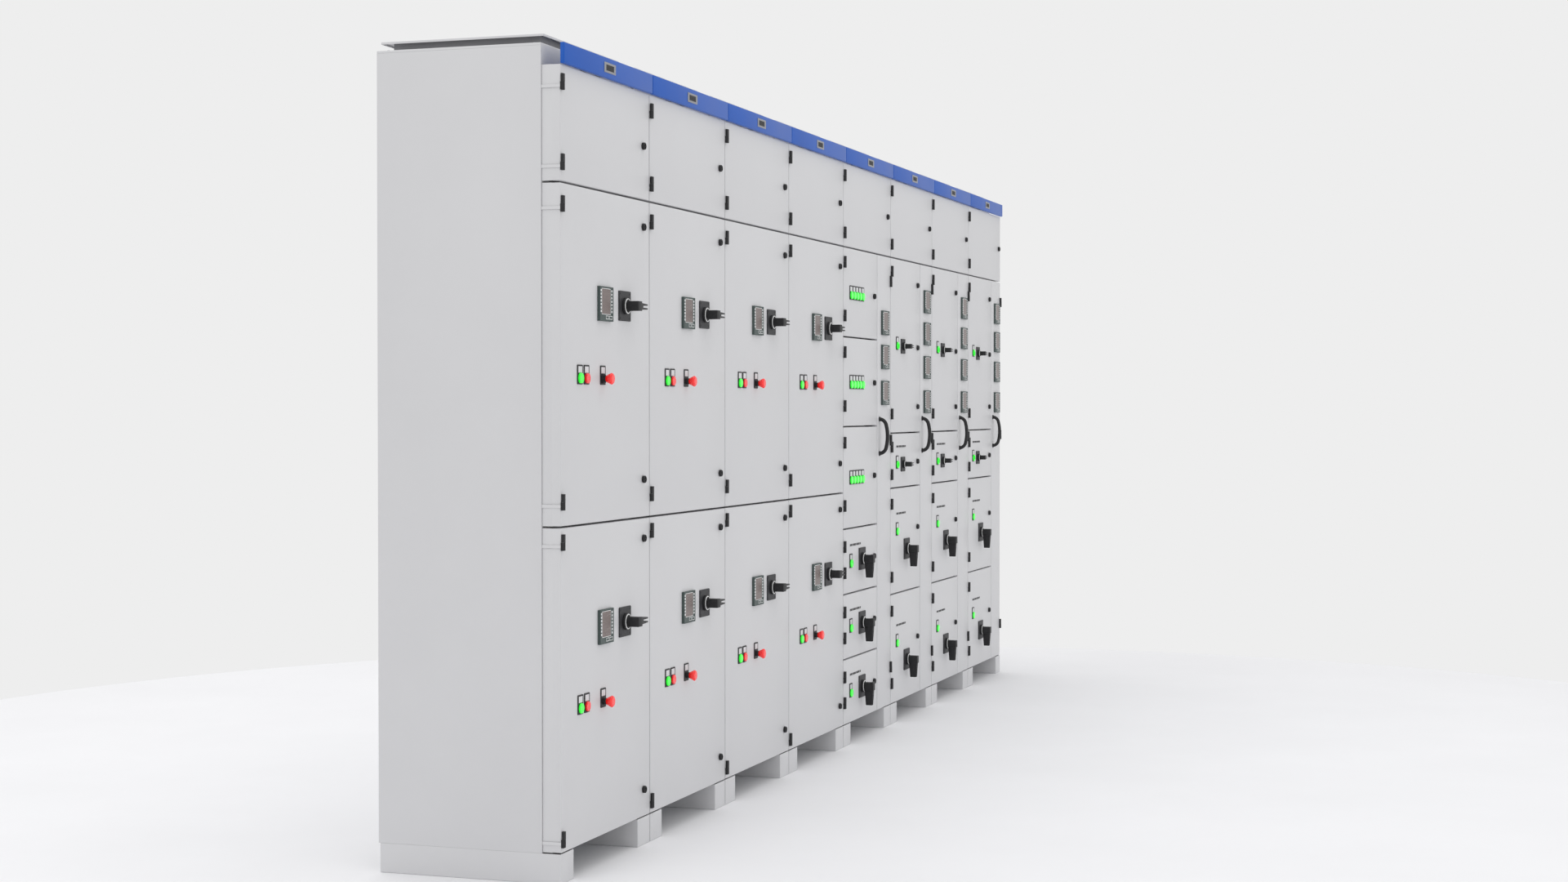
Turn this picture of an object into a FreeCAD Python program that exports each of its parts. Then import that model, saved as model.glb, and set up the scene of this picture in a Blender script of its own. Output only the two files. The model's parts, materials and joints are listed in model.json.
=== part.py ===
"""Floor-standing low-voltage switchboard: a line of eight equal bays on plinth feet.

Bays 1 to 4 are incomer bays with an upper and a lower air circuit breaker. Bay 5 holds signalling
and small feeder compartments, bays 6 to 8 hold feeder compartments, and each of those four has a
cable chamber with a tall door on its right. A busbar chamber runs along the top behind eight short
doors.

Millimetres. X runs along the line, Y from front to rear, Z up. The origin is on the floor, under the
middle of the whole line's box. Formulas are text in the sheet's own names, so every piece follows
the sheet.
"""
import os
import re

import FreeCAD
import Part
import Sketcher

BAYS = 8
LINE_BAYS = range(4)
SIGNAL_BAY = 4
FEEDER_BAYS = range(5, 8)
CABLE_BAYS = range(4, 8)

SIZES = {
    "bay_pitch": 600,
    "handle_reach": 46,
    "rear_reach": 512,
    "end_inset": 8,
    "end_door_inset": 12,
    "joint_gap": 0.2,
    "door_gap": 5,
    "door_depth": 49.4,
    "door_flange": 22,
    "sheet": 2,
    "body_front": 50,
    "body_rear": 498,
    "body_bottom": 74,
    "body_top": 2054,
    "cable_seam": 421,
    "foot_width": 85,
    "foot_rear": 494,
    "foot_wall": 3,
    "anchor_hole": 7,
    "anchor_front": 47,
    "anchor_pitch": 400,
    "post_inset": 10,
    "post_side": 40,
    "post_wall": 2.5,
    "rail_height": 40,
    "head_rail_height": 60,
    "mullion_left": 411,
    "mullion_right": 431,
    "mullion_depth": 30,
    "roof_height": 6,
    "roof_sheet": 1.5,
    "cover_side": 57,
    "cover_front": 65,
    "cover_bottom": 2084,
    "cover_top": 2090,
    "vent_side": 82,
    "vent_front": 81,
    "vent_rear": 490,
    "fascia_front": 10.6,
    "fascia_bottom": 2008,
    "fascia_top": 2059,
    "fascia_joint": 1.5,
    "nameplate_width": 76,
    "nameplate_height": 26,
    "hinge_height": 40,
    "hinge_radius": 3.5,
    "hinge_pin": 2,
    "hinge_bore": 2.09,
    "hinge_in": 1.5,
    "hinge_out": 4.1,
    "leaf_near": 1.1,
    "leaf_far": 2.4,
    "meter_side": 88,
    "meter_proud": 8,
    "meter_body": 78,
    "meter_body_depth": 40,
    "tile_width": 33,
    "tile_height": 49,
    "tile_proud": 2,
    "tile_drop": 9,
    "lamp_pitch": 35.6,
    "lamp_radius": 13.5,
    "button_radius": 13,
    "button_proud": 7,
    "cap_radius": 10.8,
    "cap_hole": 11.15,
    "mushroom_radius": 15.5,
    "mushroom_neck": 8.5,
    "mushroom_proud": 30,
    "mushroom_hole": 8.85,
    "contact_depth": 42,
    "contact_gap": 10,
    "plate_side": 78,
    "plate_proud": 3.5,
    "small_ratio": 0.7,
    "boss_radius": 22,
    "boss_top": 11.5,
    "grip_back": 13,
    "grip_reach": 67,
    "grip_root": 25,
    "grip_tip": 15,
    "grip_slot": 6,
    "grip_slot_depth": 14,
    "spindle_radius": 5,
    "spindle_hole": 5.35,
    "spindle_end": 20,
    "running_gap": 0.3,
    "knob_radius": 10,
    "knob_proud": 8,
    "lock_shaft": 4,
    "lock_hole": 4.35,
    "cam_near": 25,
    "cam_far": 28,
    "cam_length": 24,
    "cam_width": 9,
    "keeper_near": 14,
    "keeper_far": 28,
    "keeper_base": 40,
    "bow_height": 139,
    "bow_proud": 36,
    "bow_bar": 11,
    "bow_width": 14,
    "label_width": 143,
    "label_height": 10,
    "label_proud": 0.8,
    "shelf_rear": 453,
    "plate_front": 453.5,
    "plate_rear": 456,
    "busbar_front": 300,
    "busbar_thick": 10,
    "busbar_height": 40,
    "busbar_pitch": 60,
    "busbar_bottom": 1760,
    "busbar_end": 2330,
    "dropper_front": 458,
    "dropper_rear": 466,
    "dropper_bottom": 160,
    "dropper_pitch": 100,
    "screw_radius": 5,
    "screw_height": 3.5,
}

# Each kind of door: its lower and upper seam, the heights of its hinges and of its locks, from the floor.
DOORS = {
    "top": (1720, 2008.5, (1767.5, 1963), (1863,)),
    "upper": (875, 1720, (936.5, 1666), (977, 1648)),
    "lower": (74, 875, (109.5, 838), (149, 820)),
    "signal_high": (1411, 1720, (1483, 1667), (1565,)),
    "signal_mid": (1102, 1411, (1173, 1358), (1256,)),
    "signal_low": (749, 1102, (830, 1047), (925,)),
    "starter_high": (524, 749, (599, 689), (636,)),
    "starter_mid": (300, 524, (375, 464), (412,)),
    "starter_low": (74, 300, (152, 240.5), (187,)),
    "feeder_a": (1073, 1720, (1144, 1668), (1171, 1396, 1634)),
    "feeder_b": (870, 1073, (921, 1022), (962,)),
    "feeder_c": (478, 870, (543, 812), (712,)),
    "feeder_d": (74, 478, (151, 418), (292,)),
    "cable": (74, 1720, (214, 1048, 1630), ()),
}
LINE_KINDS = ("lower", "upper")
SIGNAL_KINDS = ("signal_high", "signal_mid", "signal_low")
STARTER_KINDS = ("starter_high", "starter_mid", "starter_low")
FEEDER_KINDS = ("feeder_a", "feeder_b", "feeder_c", "feeder_d")

# Where a fitting's centre lies in its bay: X from the bay's left seam.
LOCK_X = {"line": 551, "compartment": 374}
METER_X = 285
ROTARY_X = {"line": 419, "starter": 223, "small": 165, "feeder": 220}
GREEN_X, RED_X, EMERGENCY_X = 127.5, 168.5, 274
LAMP_X = 71
CABLE_METER_X = 513
BOW_X, BOW_Z = 448, 1064
LABEL_LEFT = 71
# Heights on the incomer doors, from the door's middle.
METER_UP, TILE_DOWN = 135, 47
ROTARY_Z = {"feeder_a": 1396.5, "feeder_b": 956, "feeder_c": 637, "feeder_d": 220}
FEEDER_LAMP_Z = {"feeder_a": 1406, "feeder_b": 965, "feeder_c": 717, "feeder_d": 302}
FEEDER_LABEL_Z = {"feeder_b": 1023, "feeder_c": 774, "feeder_d": 359}
STARTER_LABEL_DROP = 58
CABLE_METER_Z = {SIGNAL_BAY: (1475, 1351, 1221), "feeder": (1577, 1453, 1323, 1190)}
MOVING_DOOR = (0, "upper")
# Inside: where the fascia's brackets, the busbar supports and the panel screws stand in their bay.
BRACKET_X = (250, 350)
SUPPORT_X = (70, 510)
SCREW_X = (30, 570)
REAR_SCREW_Z = (150, 740, 1330, 1920)
ROOF_SCREW_Y = (75, 475)
PHASES = 3
POLES = 3
MODULES = 8

DOC = FreeCAD.newDocument("switchboard")
SHEET = DOC.addObject("Spreadsheet::Sheet", "Sizes")
NODES = []
FRONT = "((handle_reach - rear_reach) / 2)"
TURNS = {
    "x": FreeCAD.Rotation(FreeCAD.Vector(0, 1, 0), 90),
    "y": FreeCAD.Rotation(FreeCAD.Vector(1, 0, 0), -90),
    "z": FreeCAD.Rotation(),
}


# ------------------------------ the sheet and small makers
def fill_sheet():
    """Writes every driving size, and each door kind's seams, as a named cell."""
    rows = dict(SIZES)
    for kind, (low, high, _hinges, _locks) in DOORS.items():
        rows[f"{kind}_floor"] = low
        rows[f"{kind}_head"] = high
    for row, (alias, number) in enumerate(rows.items(), start=1):
        SHEET.set(f"A{row}", alias)
        SHEET.set(f"B{row}", str(number))
        SHEET.setAlias(f"B{row}", alias)
    DOC.recompute()


def in_sheet(formula):
    """The formula with each of the sheet's names written in full."""
    return re.sub(r"[a-z]\w*", r"Sizes.\g<0>", str(formula))


def bind(item, prop, formula):
    item.setExpression(prop, in_sheet(formula))


def worth(formula):
    """The formula's number now, for a sketch's first drawing."""
    return float(SHEET.evalExpression(in_sheet(formula)))


def put(item, x, y, z):
    for axis, formula in zip("xyz", (x, y, z)):
        bind(item, f"Placement.Base.{axis}", formula)
    return item


def block(x, y, z):
    """An upright box between the low and high limit on each axis."""
    item = DOC.addObject("Part::Box", "block")
    for side, (low, high) in zip(("Length", "Width", "Height"), (x, y, z)):
        bind(item, side, f"({high}) - ({low})")
    return put(item, x[0], y[0], z[0])


def rod(along, centre, radius, low, high):
    """A cylinder along one axis, from low to high, centred on the other two axes, in their order."""
    item = DOC.addObject("Part::Cylinder", "rod")
    item.Placement = FreeCAD.Placement(FreeCAD.Vector(), TURNS[along])
    bind(item, "Radius", radius)
    bind(item, "Height", f"({high}) - ({low})")
    base = list(centre)
    base.insert("xyz".index(along), low)
    return put(item, *base)


def fuse(*parts):
    item = DOC.addObject("Part::MultiFuse", "joined")
    item.Shapes = list(parts)
    return item


def cut(base, *tools):
    item = DOC.addObject("Part::Cut", "cut")
    item.Base = base
    item.Tool = tools[0] if len(tools) == 1 else fuse(*tools)
    return item


def group(*parts):
    item = DOC.addObject("Part::Compound", "group")
    item.Links = list(parts)
    return item


def copy_of(master, x=0, y=0, z=0):
    """One more of a piece that is modelled once. The copy's place replaces the master's own, so a
    master is a group, a cut or a body that stands at the origin."""
    item = DOC.addObject("App::Link", "copy")
    item.LinkedObject = master
    return put(item, x, y, z)


def node(label, parts, x=0):
    """A named sub-part: its solids, placed at the door faces' plane and at x along the line."""
    item = group(*parts)
    item.Label = label
    put(item, x, FRONT, 0)
    NODES.append(item)


def tray(x, y, z, wall, open_side):
    """A folded sheet box, open on one side."""
    (x0, x1), (y0, y1), (z0, z1) = x, y, z
    inside = [
        (f"{x0} + {wall}", f"{x1} - {wall}"),
        (f"{y0} + {wall}", f"{y1} - {wall}"),
        (f"{z0} + {wall}", f"{z1} - {wall}"),
    ]
    axis, end = {"rear": (1, 1), "bottom": (2, 0), "top": (2, 1)}[open_side]
    limits = list(inside[axis])
    limits[end] = f"{(y, z)[axis - 1][end]} {'+' if end else '-'} 1"
    inside[axis] = tuple(limits)
    return cut(block(x, y, z), block(*inside))


# ------------------------------ where things are along the line
def seam(bay):
    """The bay's left joint along the line."""
    return f"(bay_pitch * {bay - BAYS / 2})"


def bay_sides(bay, end_inset="end_inset", joint="joint_gap"):
    """A bay-wide piece's limits in its bay, drawn in at the two ends of the line."""
    left = end_inset if bay == 0 else joint
    right = f"bay_pitch - {end_inset if bay == BAYS - 1 else joint}"
    return left, right


def door_sides(bay, kind):
    """The door's left and right edge in its bay."""
    left, right = bay_sides(bay, "end_door_inset", "door_gap / 2")
    if kind == "cable":
        return "cable_seam + door_gap / 2", right
    if bay in CABLE_BAYS and kind != "top":
        return left, "cable_seam - door_gap / 2"
    return left, right


def kinds_in(bay):
    """The kinds of door in one bay, from the bottom."""
    if bay in LINE_BAYS:
        return (*LINE_KINDS, "top")
    if bay == SIGNAL_BAY:
        return (*STARTER_KINDS, *SIGNAL_KINDS, "cable", "top")
    return (*FEEDER_KINDS, "cable", "top")


# ------------------------------ structure
def plinth_feet():
    """Two full-depth box feet under each bay, with anchor holes in their floors."""
    feet = []
    for bay in range(BAYS):
        left, right = bay_sides(bay, joint="door_gap / 2")
        sides = (
            (left, "door_gap / 2 + foot_width"),
            ("bay_pitch - door_gap / 2 - foot_width", right),
        )
        holes_x = ("door_gap / 2 + foot_width / 2", "bay_pitch - door_gap / 2 - foot_width / 2")
        for side, hole_x in zip(sides, holes_x):
            shell = tray(side, (0, "foot_rear"), (0, "body_bottom"), "foot_wall", "top")
            holes = [
                rod("z", (hole_x, y), "anchor_hole", -1, "foot_wall + 1")
                for y in ("anchor_front", "anchor_front + anchor_pitch")
            ]
            feet.append(put(cut(shell, *holes), seam(bay), 0, 0))
    node("plinth_feet", feet)


def tube(x, y, z, along):
    """A square steel tube, open at both ends."""
    inside = []
    for axis, (low, high) in zip("xyz", (x, y, z)):
        step = "-1" if axis == along else "post_wall"
        inside.append((f"{low} + {step}", f"{high} - ({step})"))
    return cut(block(x, y, z), block(*inside))


def keeper(x, z):
    """The strip on the frame that a lock's cam turns behind: a base, an upright and a lip towards the
    knob, each flat, so that the cam's room between them stays open."""
    height = (f"{z} - 8", f"{z} + 8")
    upright = (f"{x} + keeper_far - sheet", f"{x} + keeper_far")
    base = block((upright[1], f"{x} + keeper_base"), ("body_front - sheet", "body_front"), height)
    foot = block(upright, ("door_flange", "body_front"), height)
    lip = block((f"{x} + keeper_near", upright[0]), ("door_flange", "door_flange + sheet"), height)
    return group(base, foot, lip)


def bay_frame(kinds):
    """One bay's frame: four posts, the rails between them, and a mullion and cross rails behind the seams."""
    front = ("body_front", "body_front + post_side")
    rear = ("plate_rear", "plate_rear + post_side")
    left = ("post_inset", "post_inset + post_side")
    right = ("bay_pitch - post_inset - post_side", "bay_pitch - post_inset")
    between = (left[1], right[0])
    depth = (front[1], rear[0])
    whole = ("body_bottom", "body_top")
    parts = [tube(x, y, whole, "z") for x in (left, right) for y in (front, rear)]
    foot_rail = ("body_bottom", "body_bottom + rail_height")
    head_rail = ("body_top - head_rail_height", "body_top")
    for height in (foot_rail, head_rail):
        parts += [tube(between, y, height, "x") for y in (front, rear)]
        parts += [tube(x, depth, height, "y") for x in (left, right)]
    has_cable = "cable" in kinds
    cross_depth = ("body_front", "body_front + mullion_depth")
    cross_right = "mullion_left" if has_cable else right[0]
    for kind in kinds:
        if kind in ("cable", "top") or kind.endswith(("lower", "starter_low", "feeder_d")):
            continue
        centre = f"{kind}_floor"
        parts.append(tube((left[1], cross_right), cross_depth, (f"{centre} - 15", f"{centre} + 15"), "x"))
    parts.append(tube(between, cross_depth, ("top_floor - 15", "top_floor + 15"), "x"))
    if has_cable:
        mullion = ("mullion_left", "mullion_right")
        parts.append(tube(mullion, cross_depth, (foot_rail[1], "top_floor - 15"), "z"))
    lock_x = LOCK_X["compartment"] if has_cable else LOCK_X["line"]
    for kind in kinds:
        x = LOCK_X["line"] if kind == "top" else lock_x
        parts += [keeper(x, z) for z in DOORS[kind][3]]
    return group(*parts)


def bay_frames():
    line = bay_frame(kinds_in(0))
    signal = bay_frame(kinds_in(SIGNAL_BAY))
    feeder = bay_frame(kinds_in(FEEDER_BAYS[0]))
    masters = [line] * len(LINE_BAYS) + [signal] + [feeder] * len(FEEDER_BAYS)
    node("bay_frames", [copy_of(master, seam(bay)) for bay, master in enumerate(masters)])


def end_panels():
    """A flat painted sheet on each end of the line."""
    height = ("body_bottom", "body_top")
    depth = ("body_front", "body_rear")
    left = block((f"{seam(0)} + end_inset", f"{seam(0)} + end_inset + sheet"), depth, height)
    right = block((f"{seam(BAYS)} - end_inset - sheet", f"{seam(BAYS)} - end_inset"), depth, height)
    node("end_panels", [left, right])


def rear_panels():
    panels = []
    for bay in range(BAYS):
        left, right = bay_sides(bay, "post_inset", "1")
        panel = block((left, right), ("body_rear - sheet", "body_rear"), ("body_bottom", "body_top"))
        panels.append(put(group(panel), seam(bay), 0, 0))
    node("rear_panels", panels)


def roof():
    """The roof sheets, the dark vent rings on them and the raised cover plates."""
    sheets = []
    for bay in range(BAYS):
        sides = bay_sides(bay)
        top = ("body_top", "body_top + roof_height")
        sheet = tray(sides, ("body_front", "body_rear"), top, "roof_sheet", "bottom")
        sheets.append(put(sheet, seam(bay), 0, 0))
    node("roof_sheets", sheets)
    ring_top = "cover_top - roof_sheet"
    outer = block(
        ("vent_side", "bay_pitch - vent_side"),
        ("vent_front", "vent_rear"),
        ("body_top + roof_height", ring_top),
    )
    inner = block(
        ("vent_side + 3", "bay_pitch - vent_side - 3"),
        ("vent_front + 3", "vent_rear - 3"),
        ("body_top", "cover_top"),
    )
    ring = cut(outer, inner)
    cover = tray(
        ("cover_side", "bay_pitch - cover_side"),
        ("cover_front", "rear_reach"),
        ("cover_bottom", "cover_top"),
        "roof_sheet",
        "bottom",
    )
    node("vent_rings", [copy_of(ring, seam(bay)) for bay in range(BAYS)])
    node("roof_covers", [copy_of(cover, seam(bay)) for bay in range(BAYS)])


def fascia():
    """A shallow tray over each bay's top door, on two brackets from the head rail, with a blank nameplate."""
    trays, plates = [], []
    bracket_depth = ("sheet - fascia_front", "body_front")
    bracket_height = ("fascia_bottom + 12", "fascia_top - 9")
    plate = block(
        ("-nameplate_width / 2", "nameplate_width / 2"),
        ("-fascia_front - 1", "-fascia_front"),
        ("-nameplate_height / 2", "nameplate_height / 2"),
    )
    for bay in range(BAYS):
        sides = bay_sides(bay, "end_door_inset", "fascia_joint")
        face = tray(sides, ("-fascia_front", 0), ("fascia_bottom", "fascia_top"), "sheet", "rear")
        brackets = [
            block((x, f"{x} + sheet"), bracket_depth, bracket_height)
            for x in BRACKET_X
        ]
        trays.append(put(group(face, *brackets), seam(bay), 0, 0))
        middle = f"{seam(bay)} + bay_pitch / 2"
        plates.append(copy_of(group(plate), middle, 0, "(fascia_bottom + fascia_top) / 2"))
    node("fascia_trays", trays)
    node("nameplates", plates)


# ------------------------------ inside
def compartment_limits(bay, kind):
    """The compartment's left and right wall behind a door, in its bay."""
    right = "mullion_left" if bay in CABLE_BAYS and kind != "top" else "bay_pitch - post_inset"
    return "post_inset", right


def compartment_sheets():
    """The bays' base sheets, the floors between the compartments, the busbar chamber's floor, and the
    upright sheet between the compartments and each cable chamber."""
    upright = block(
        ("mullion_left + 1", "mullion_left + 1 + sheet"),
        ("body_front + mullion_depth + 1", "shelf_rear"),
        ("body_bottom + rail_height + 1", "top_floor - 2"),
    )
    sheets = [copy_of(group(upright), seam(bay)) for bay in CABLE_BAYS]
    floor = block(
        ("post_inset + post_side", "bay_pitch - post_inset - post_side"),
        ("body_front + post_side", "plate_rear"),
        ("body_bottom + sheet", "body_bottom + 2 * sheet"),
    )
    sheets += [copy_of(group(floor), seam(bay)) for bay in range(BAYS)]
    depth = ("body_front + post_side + 1", "shelf_rear")
    for bay in range(BAYS):
        for kind in kinds_in(bay):
            if DOORS[kind][0] == SIZES["body_bottom"]:
                continue
            left, right = compartment_limits(bay, kind)
            inner_left = f"{left} + post_side + 1"
            inner_right = right if right == "mullion_left" else f"{right} - post_side - 1"
            height = (f"{kind}_floor - sheet / 2", f"{kind}_floor + sheet / 2")
            sheets.append(put(group(block((inner_left, inner_right), depth, height)), seam(bay), 0, 0))
    node("compartment_sheets", sheets)


def mounting_plates():
    """The zinc plate at the back of each compartment, screwed to the rear posts."""
    plates = []
    for bay in range(BAYS):
        for kind in kinds_in(bay):
            if kind == "top":
                continue
            left, right = compartment_limits(bay, kind)
            if kind == "cable":
                left, right = "mullion_right", "bay_pitch - post_inset"
            height = (f"{kind}_floor + 45", f"{kind}_head - 25")
            plate = block((left, right), ("plate_front", "plate_rear"), height)
            plates.append(put(group(plate), seam(bay), 0, 0))
    node("mounting_plates", plates)


def bar_bottom(phase):
    return f"(busbar_bottom + busbar_pitch * {phase})"


def busbars():
    """Four main bars along the line, three droppers with links in each bay, and an earth bar in each bay."""
    depth = ("busbar_front", "busbar_front + busbar_thick")
    length = ("-busbar_end", "busbar_end")
    bars = [
        block(length, depth, (bar_bottom(phase), f"{bar_bottom(phase)} + busbar_height"))
        for phase in range(PHASES + 1)
    ]
    per_bay = []
    for phase in range(PHASES):
        side = (f"160 + dropper_pitch * {phase}", f"200 + dropper_pitch * {phase}")
        top = f"{bar_bottom(phase)} + busbar_height"
        per_bay.append(block(side, ("dropper_front", "dropper_rear"), ("dropper_bottom", top)))
        per_bay.append(block(side, (depth[1], "dropper_front"), (f"{top} - 8", top)))
    per_bay.append(block((60, "bay_pitch - 60"), (470, 475), (120, 150)))
    dropper_set = group(*per_bay)
    node("busbars", bars + [copy_of(dropper_set, seam(bay)) for bay in range(BAYS)])


def busbar_supports():
    """Moulded insulator posts that clamp the four main bars, two in each bay, standing on the chamber's
    floor."""
    parts = []
    behind = ("busbar_front + busbar_thick", "busbar_front + busbar_thick + 25")
    for x in SUPPORT_X:
        side = (x, x + 22)
        rear = block(side, behind, ("top_floor + 1", 1985))
        front = block(side, ("busbar_front - 14", "busbar_front"), (1745, 1985))
        parts += [rear, front]
    support = group(*parts)
    node("busbar_supports", [copy_of(support, seam(bay)) for bay in range(BAYS)])


def air_breakers():
    """Two withdrawable breakers in each incomer bay: cassette, body, escutcheon, arc chutes and
    operating shaft."""
    width = ("bay_pitch / 2 - 135", "bay_pitch / 2 + 135")
    parts = [
        block(width, (200, "plate_front"), (-170, 150)),
        block(("bay_pitch / 2 - 110", "bay_pitch / 2 + 100"), (185, 200), (-120, 110)),
        block(("bay_pitch / 2 + 50", "bay_pitch / 2 + 62"), (165, 185), (-90, 40)),
        rod("y", (ROTARY_X["line"], METER_UP), "spindle_radius", "body_front + 45", 200),
    ]
    for pole in range(POLES):
        left = f"bay_pitch / 2 - 130 + 90 * {pole}"
        parts.append(block((left, f"{left} + 80"), (240, "plate_front - 20"), (150, 205)))
    breaker = group(*parts)
    middles = [f"({kind}_floor + {kind}_head) / 2" for kind in LINE_KINDS]
    node("air_breakers", [copy_of(breaker, seam(bay), 0, middle) for bay in LINE_BAYS for middle in middles])


def moulded_breaker(x):
    """A moulded-case breaker with its toggle, terminal covers and the shaft that meets the door's handle."""
    body = block((f"{x} - 52", f"{x} + 52"), (345, "plate_front"), (-70, 70))
    nose = block((f"{x} - 25", f"{x} + 25"), (330, 345), (-38, 38))
    shaft = rod("y", (x, 0), "spindle_radius", "body_front + 45", 330)
    covers = [block((f"{x} - 50", f"{x} + 50"), (365, "plate_front"), z) for z in ((-84, -70), (70, 84))]
    return group(body, nose, shaft, *covers)


def modular_row():
    """A row of eight modular breakers on a rail, behind a signalling door."""
    rail = block((80, 340), (446, "plate_front"), (-17, 17))
    modules = [block((88 + 30 * place, 116 + 30 * place), (380, 446), (-43, 43)) for place in range(MODULES)]
    return group(rail, *modules)


def feeder_breakers():
    starter = moulded_breaker(ROTARY_X["starter"])
    small = moulded_breaker(ROTARY_X["small"])
    feeder = moulded_breaker(ROTARY_X["feeder"])
    row = modular_row()
    parts = [copy_of(row, seam(SIGNAL_BAY), 0, f"({kind}_floor + {kind}_head) / 2") for kind in SIGNAL_KINDS]
    for kind in STARTER_KINDS:
        parts.append(copy_of(starter, seam(SIGNAL_BAY), 0, f"({kind}_floor + {kind}_head) / 2"))
    for bay in FEEDER_BAYS:
        for kind in FEEDER_KINDS:
            master = small if kind in ("feeder_a", "feeder_b") else feeder
            parts.append(copy_of(master, seam(bay), 0, ROTARY_Z[kind]))
    node("feeder_breakers", parts)


def screws():
    """The hexagon-head screws of the rear panels and of the roof sheets."""
    def head(turned):
        item = DOC.addObject("Part::Prism", "screw")
        item.Polygon = 6
        bind(item, "Circumradius", "screw_radius")
        bind(item, "Height", "screw_height")
        item.Placement = FreeCAD.Placement(FreeCAD.Vector(), TURNS["y" if turned else "z"])
        return group(item)

    rear_head, roof_head = head(True), head(False)
    parts = []
    for bay in range(BAYS):
        for x in SCREW_X:
            along = f"{seam(bay)} + {x}"
            parts += [copy_of(rear_head, along, "body_rear", z) for z in REAR_SCREW_Z]
            parts += [copy_of(roof_head, along, y, "body_top + roof_height") for y in ROOF_SCREW_Y]
    node("panel_screws", parts)


# ------------------------------ hinges
def hinge_halves(side, flanged):
    """The frame's and the door's half of a lift-off hinge. side is 1 on a left-hinged door and -1 on a
    right-hinged one, and X is measured from the door's hinged edge. Between two bays the leaf ends in a
    flange on the post."""
    axis = (f"hinge_in * {side}", "-hinge_out")
    low, high = "-hinge_height / 2", "hinge_height / 2"
    gap = "running_gap / 2"

    def across(start, end):
        return (f"{start}", f"{end}") if side > 0 else (f"-({end})", f"-({start})")

    barrel = rod("z", axis, "hinge_radius", low, f"-{gap}")
    pin = rod("z", axis, "hinge_pin", low, f"{high} - 3")
    lower = (low, f"-{gap}")
    outmost = "-hinge_out - hinge_radius"
    web = block(across("-leaf_far", "hinge_in"), (outmost, "-hinge_out"), lower)
    leaf = block(across("-leaf_far", "-leaf_near"), (outmost, "body_front"), lower)
    pieces = [barrel, pin, web, leaf]
    if flanged:
        reach = across("-leaf_far", "post_inset - door_gap / 2")
        pieces.append(block(reach, ("body_front", "body_front + sheet"), lower))
    frame_half = fuse(*pieces)
    upper = rod("z", axis, "hinge_radius", gap, high)
    flap = block(across("hinge_in", 11), ("-hinge_out - 2.5", 0), (gap, high))
    bore = rod("z", axis, "hinge_bore", 0, f"{high} - 2.5")
    door_half = cut(fuse(upper, flap), bore)
    return frame_half, door_half


def hinge_edge(bay, kind):
    left, right = door_sides(bay, kind)
    return right if kind == "cable" else left


def frame_hinges(halves):
    """Every hinge's frame half. halves are found by side and by whether they have a flange."""
    parts = []
    for bay in range(BAYS):
        for kind in kinds_in(bay):
            side = -1 if kind == "cable" else 1
            at_end = bay == (BAYS - 1 if kind == "cable" else 0)
            x = f"{seam(bay)} + {hinge_edge(bay, kind)}"
            parts += [copy_of(halves[side, not at_end], x, 0, z) for z in DOORS[kind][2]]
    node("hinge_frame_halves", parts)


# ------------------------------ sketches of the working controls
def new_body(name):
    return DOC.addObject("PartDesign::Body", name)


def drawing(body, role, offset):
    """An empty sketch on one of the body's own planes, moved out along the plane's normal."""
    plane = next(item for item in body.Origin.OriginFeatures if item.Role == role)
    sketch = body.newObject("Sketcher::SketchObject", "sketch")
    sketch.AttachmentSupport = (plane, [""])
    sketch.MapMode = "FlatFace"
    bind(sketch, "AttachmentOffset.Base.z", offset)
    return sketch


def fix(sketch, kind, place, formula):
    """Ties a point, or a radius, to a formula."""
    number = sketch.addConstraint(Sketcher.Constraint(kind, *place, worth(formula)))
    bind(sketch, f"Constraints[{number}]", formula)


def draw_outline(sketch, corners):
    """A closed outline of straight lines through corners given as formulas."""
    points = [FreeCAD.Vector(worth(x), worth(y), 0) for x, y in corners]
    count = len(points)
    for index in range(count):
        sketch.addGeometry(Part.LineSegment(points[index], points[(index + 1) % count]), False)
    for index in range(count):
        sketch.addConstraint(Sketcher.Constraint("Coincident", index, 2, (index + 1) % count, 1))
    for index, (x, y) in enumerate(corners):
        fix(sketch, "DistanceX", (-1, 1, index, 1), x)
        fix(sketch, "DistanceY", (-1, 1, index, 1), y)


def draw_circle(sketch, radius):
    circle = Part.Circle(FreeCAD.Vector(), FreeCAD.Vector(0, 0, 1), worth(radius))
    sketch.addGeometry(circle, False)
    sketch.addConstraint(Sketcher.Constraint("Coincident", 0, 3, -1, 1))
    fix(sketch, "Radius", (0,), radius)


def pad(body, sketch, length, inwards=False):
    feature = body.newObject("PartDesign::Pad", "pad")
    feature.Profile = sketch
    feature.Reversed = inwards
    bind(feature, "Length", length)
    return feature


def pocket(body, sketch, length):
    feature = body.newObject("PartDesign::Pocket", "pocket")
    feature.Profile = sketch
    bind(feature, "Length", length)
    return feature


def turned(body, profile):
    """A solid of revolution about Y, from corners (radius, y)."""
    sketch = drawing(body, "XY_Plane", 0)
    draw_outline(sketch, profile)
    feature = body.newObject("PartDesign::Revolution", "turned")
    feature.Profile = sketch
    feature.ReferenceAxis = (sketch, ["V_Axis"])
    feature.Angle = 360
    return body


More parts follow.
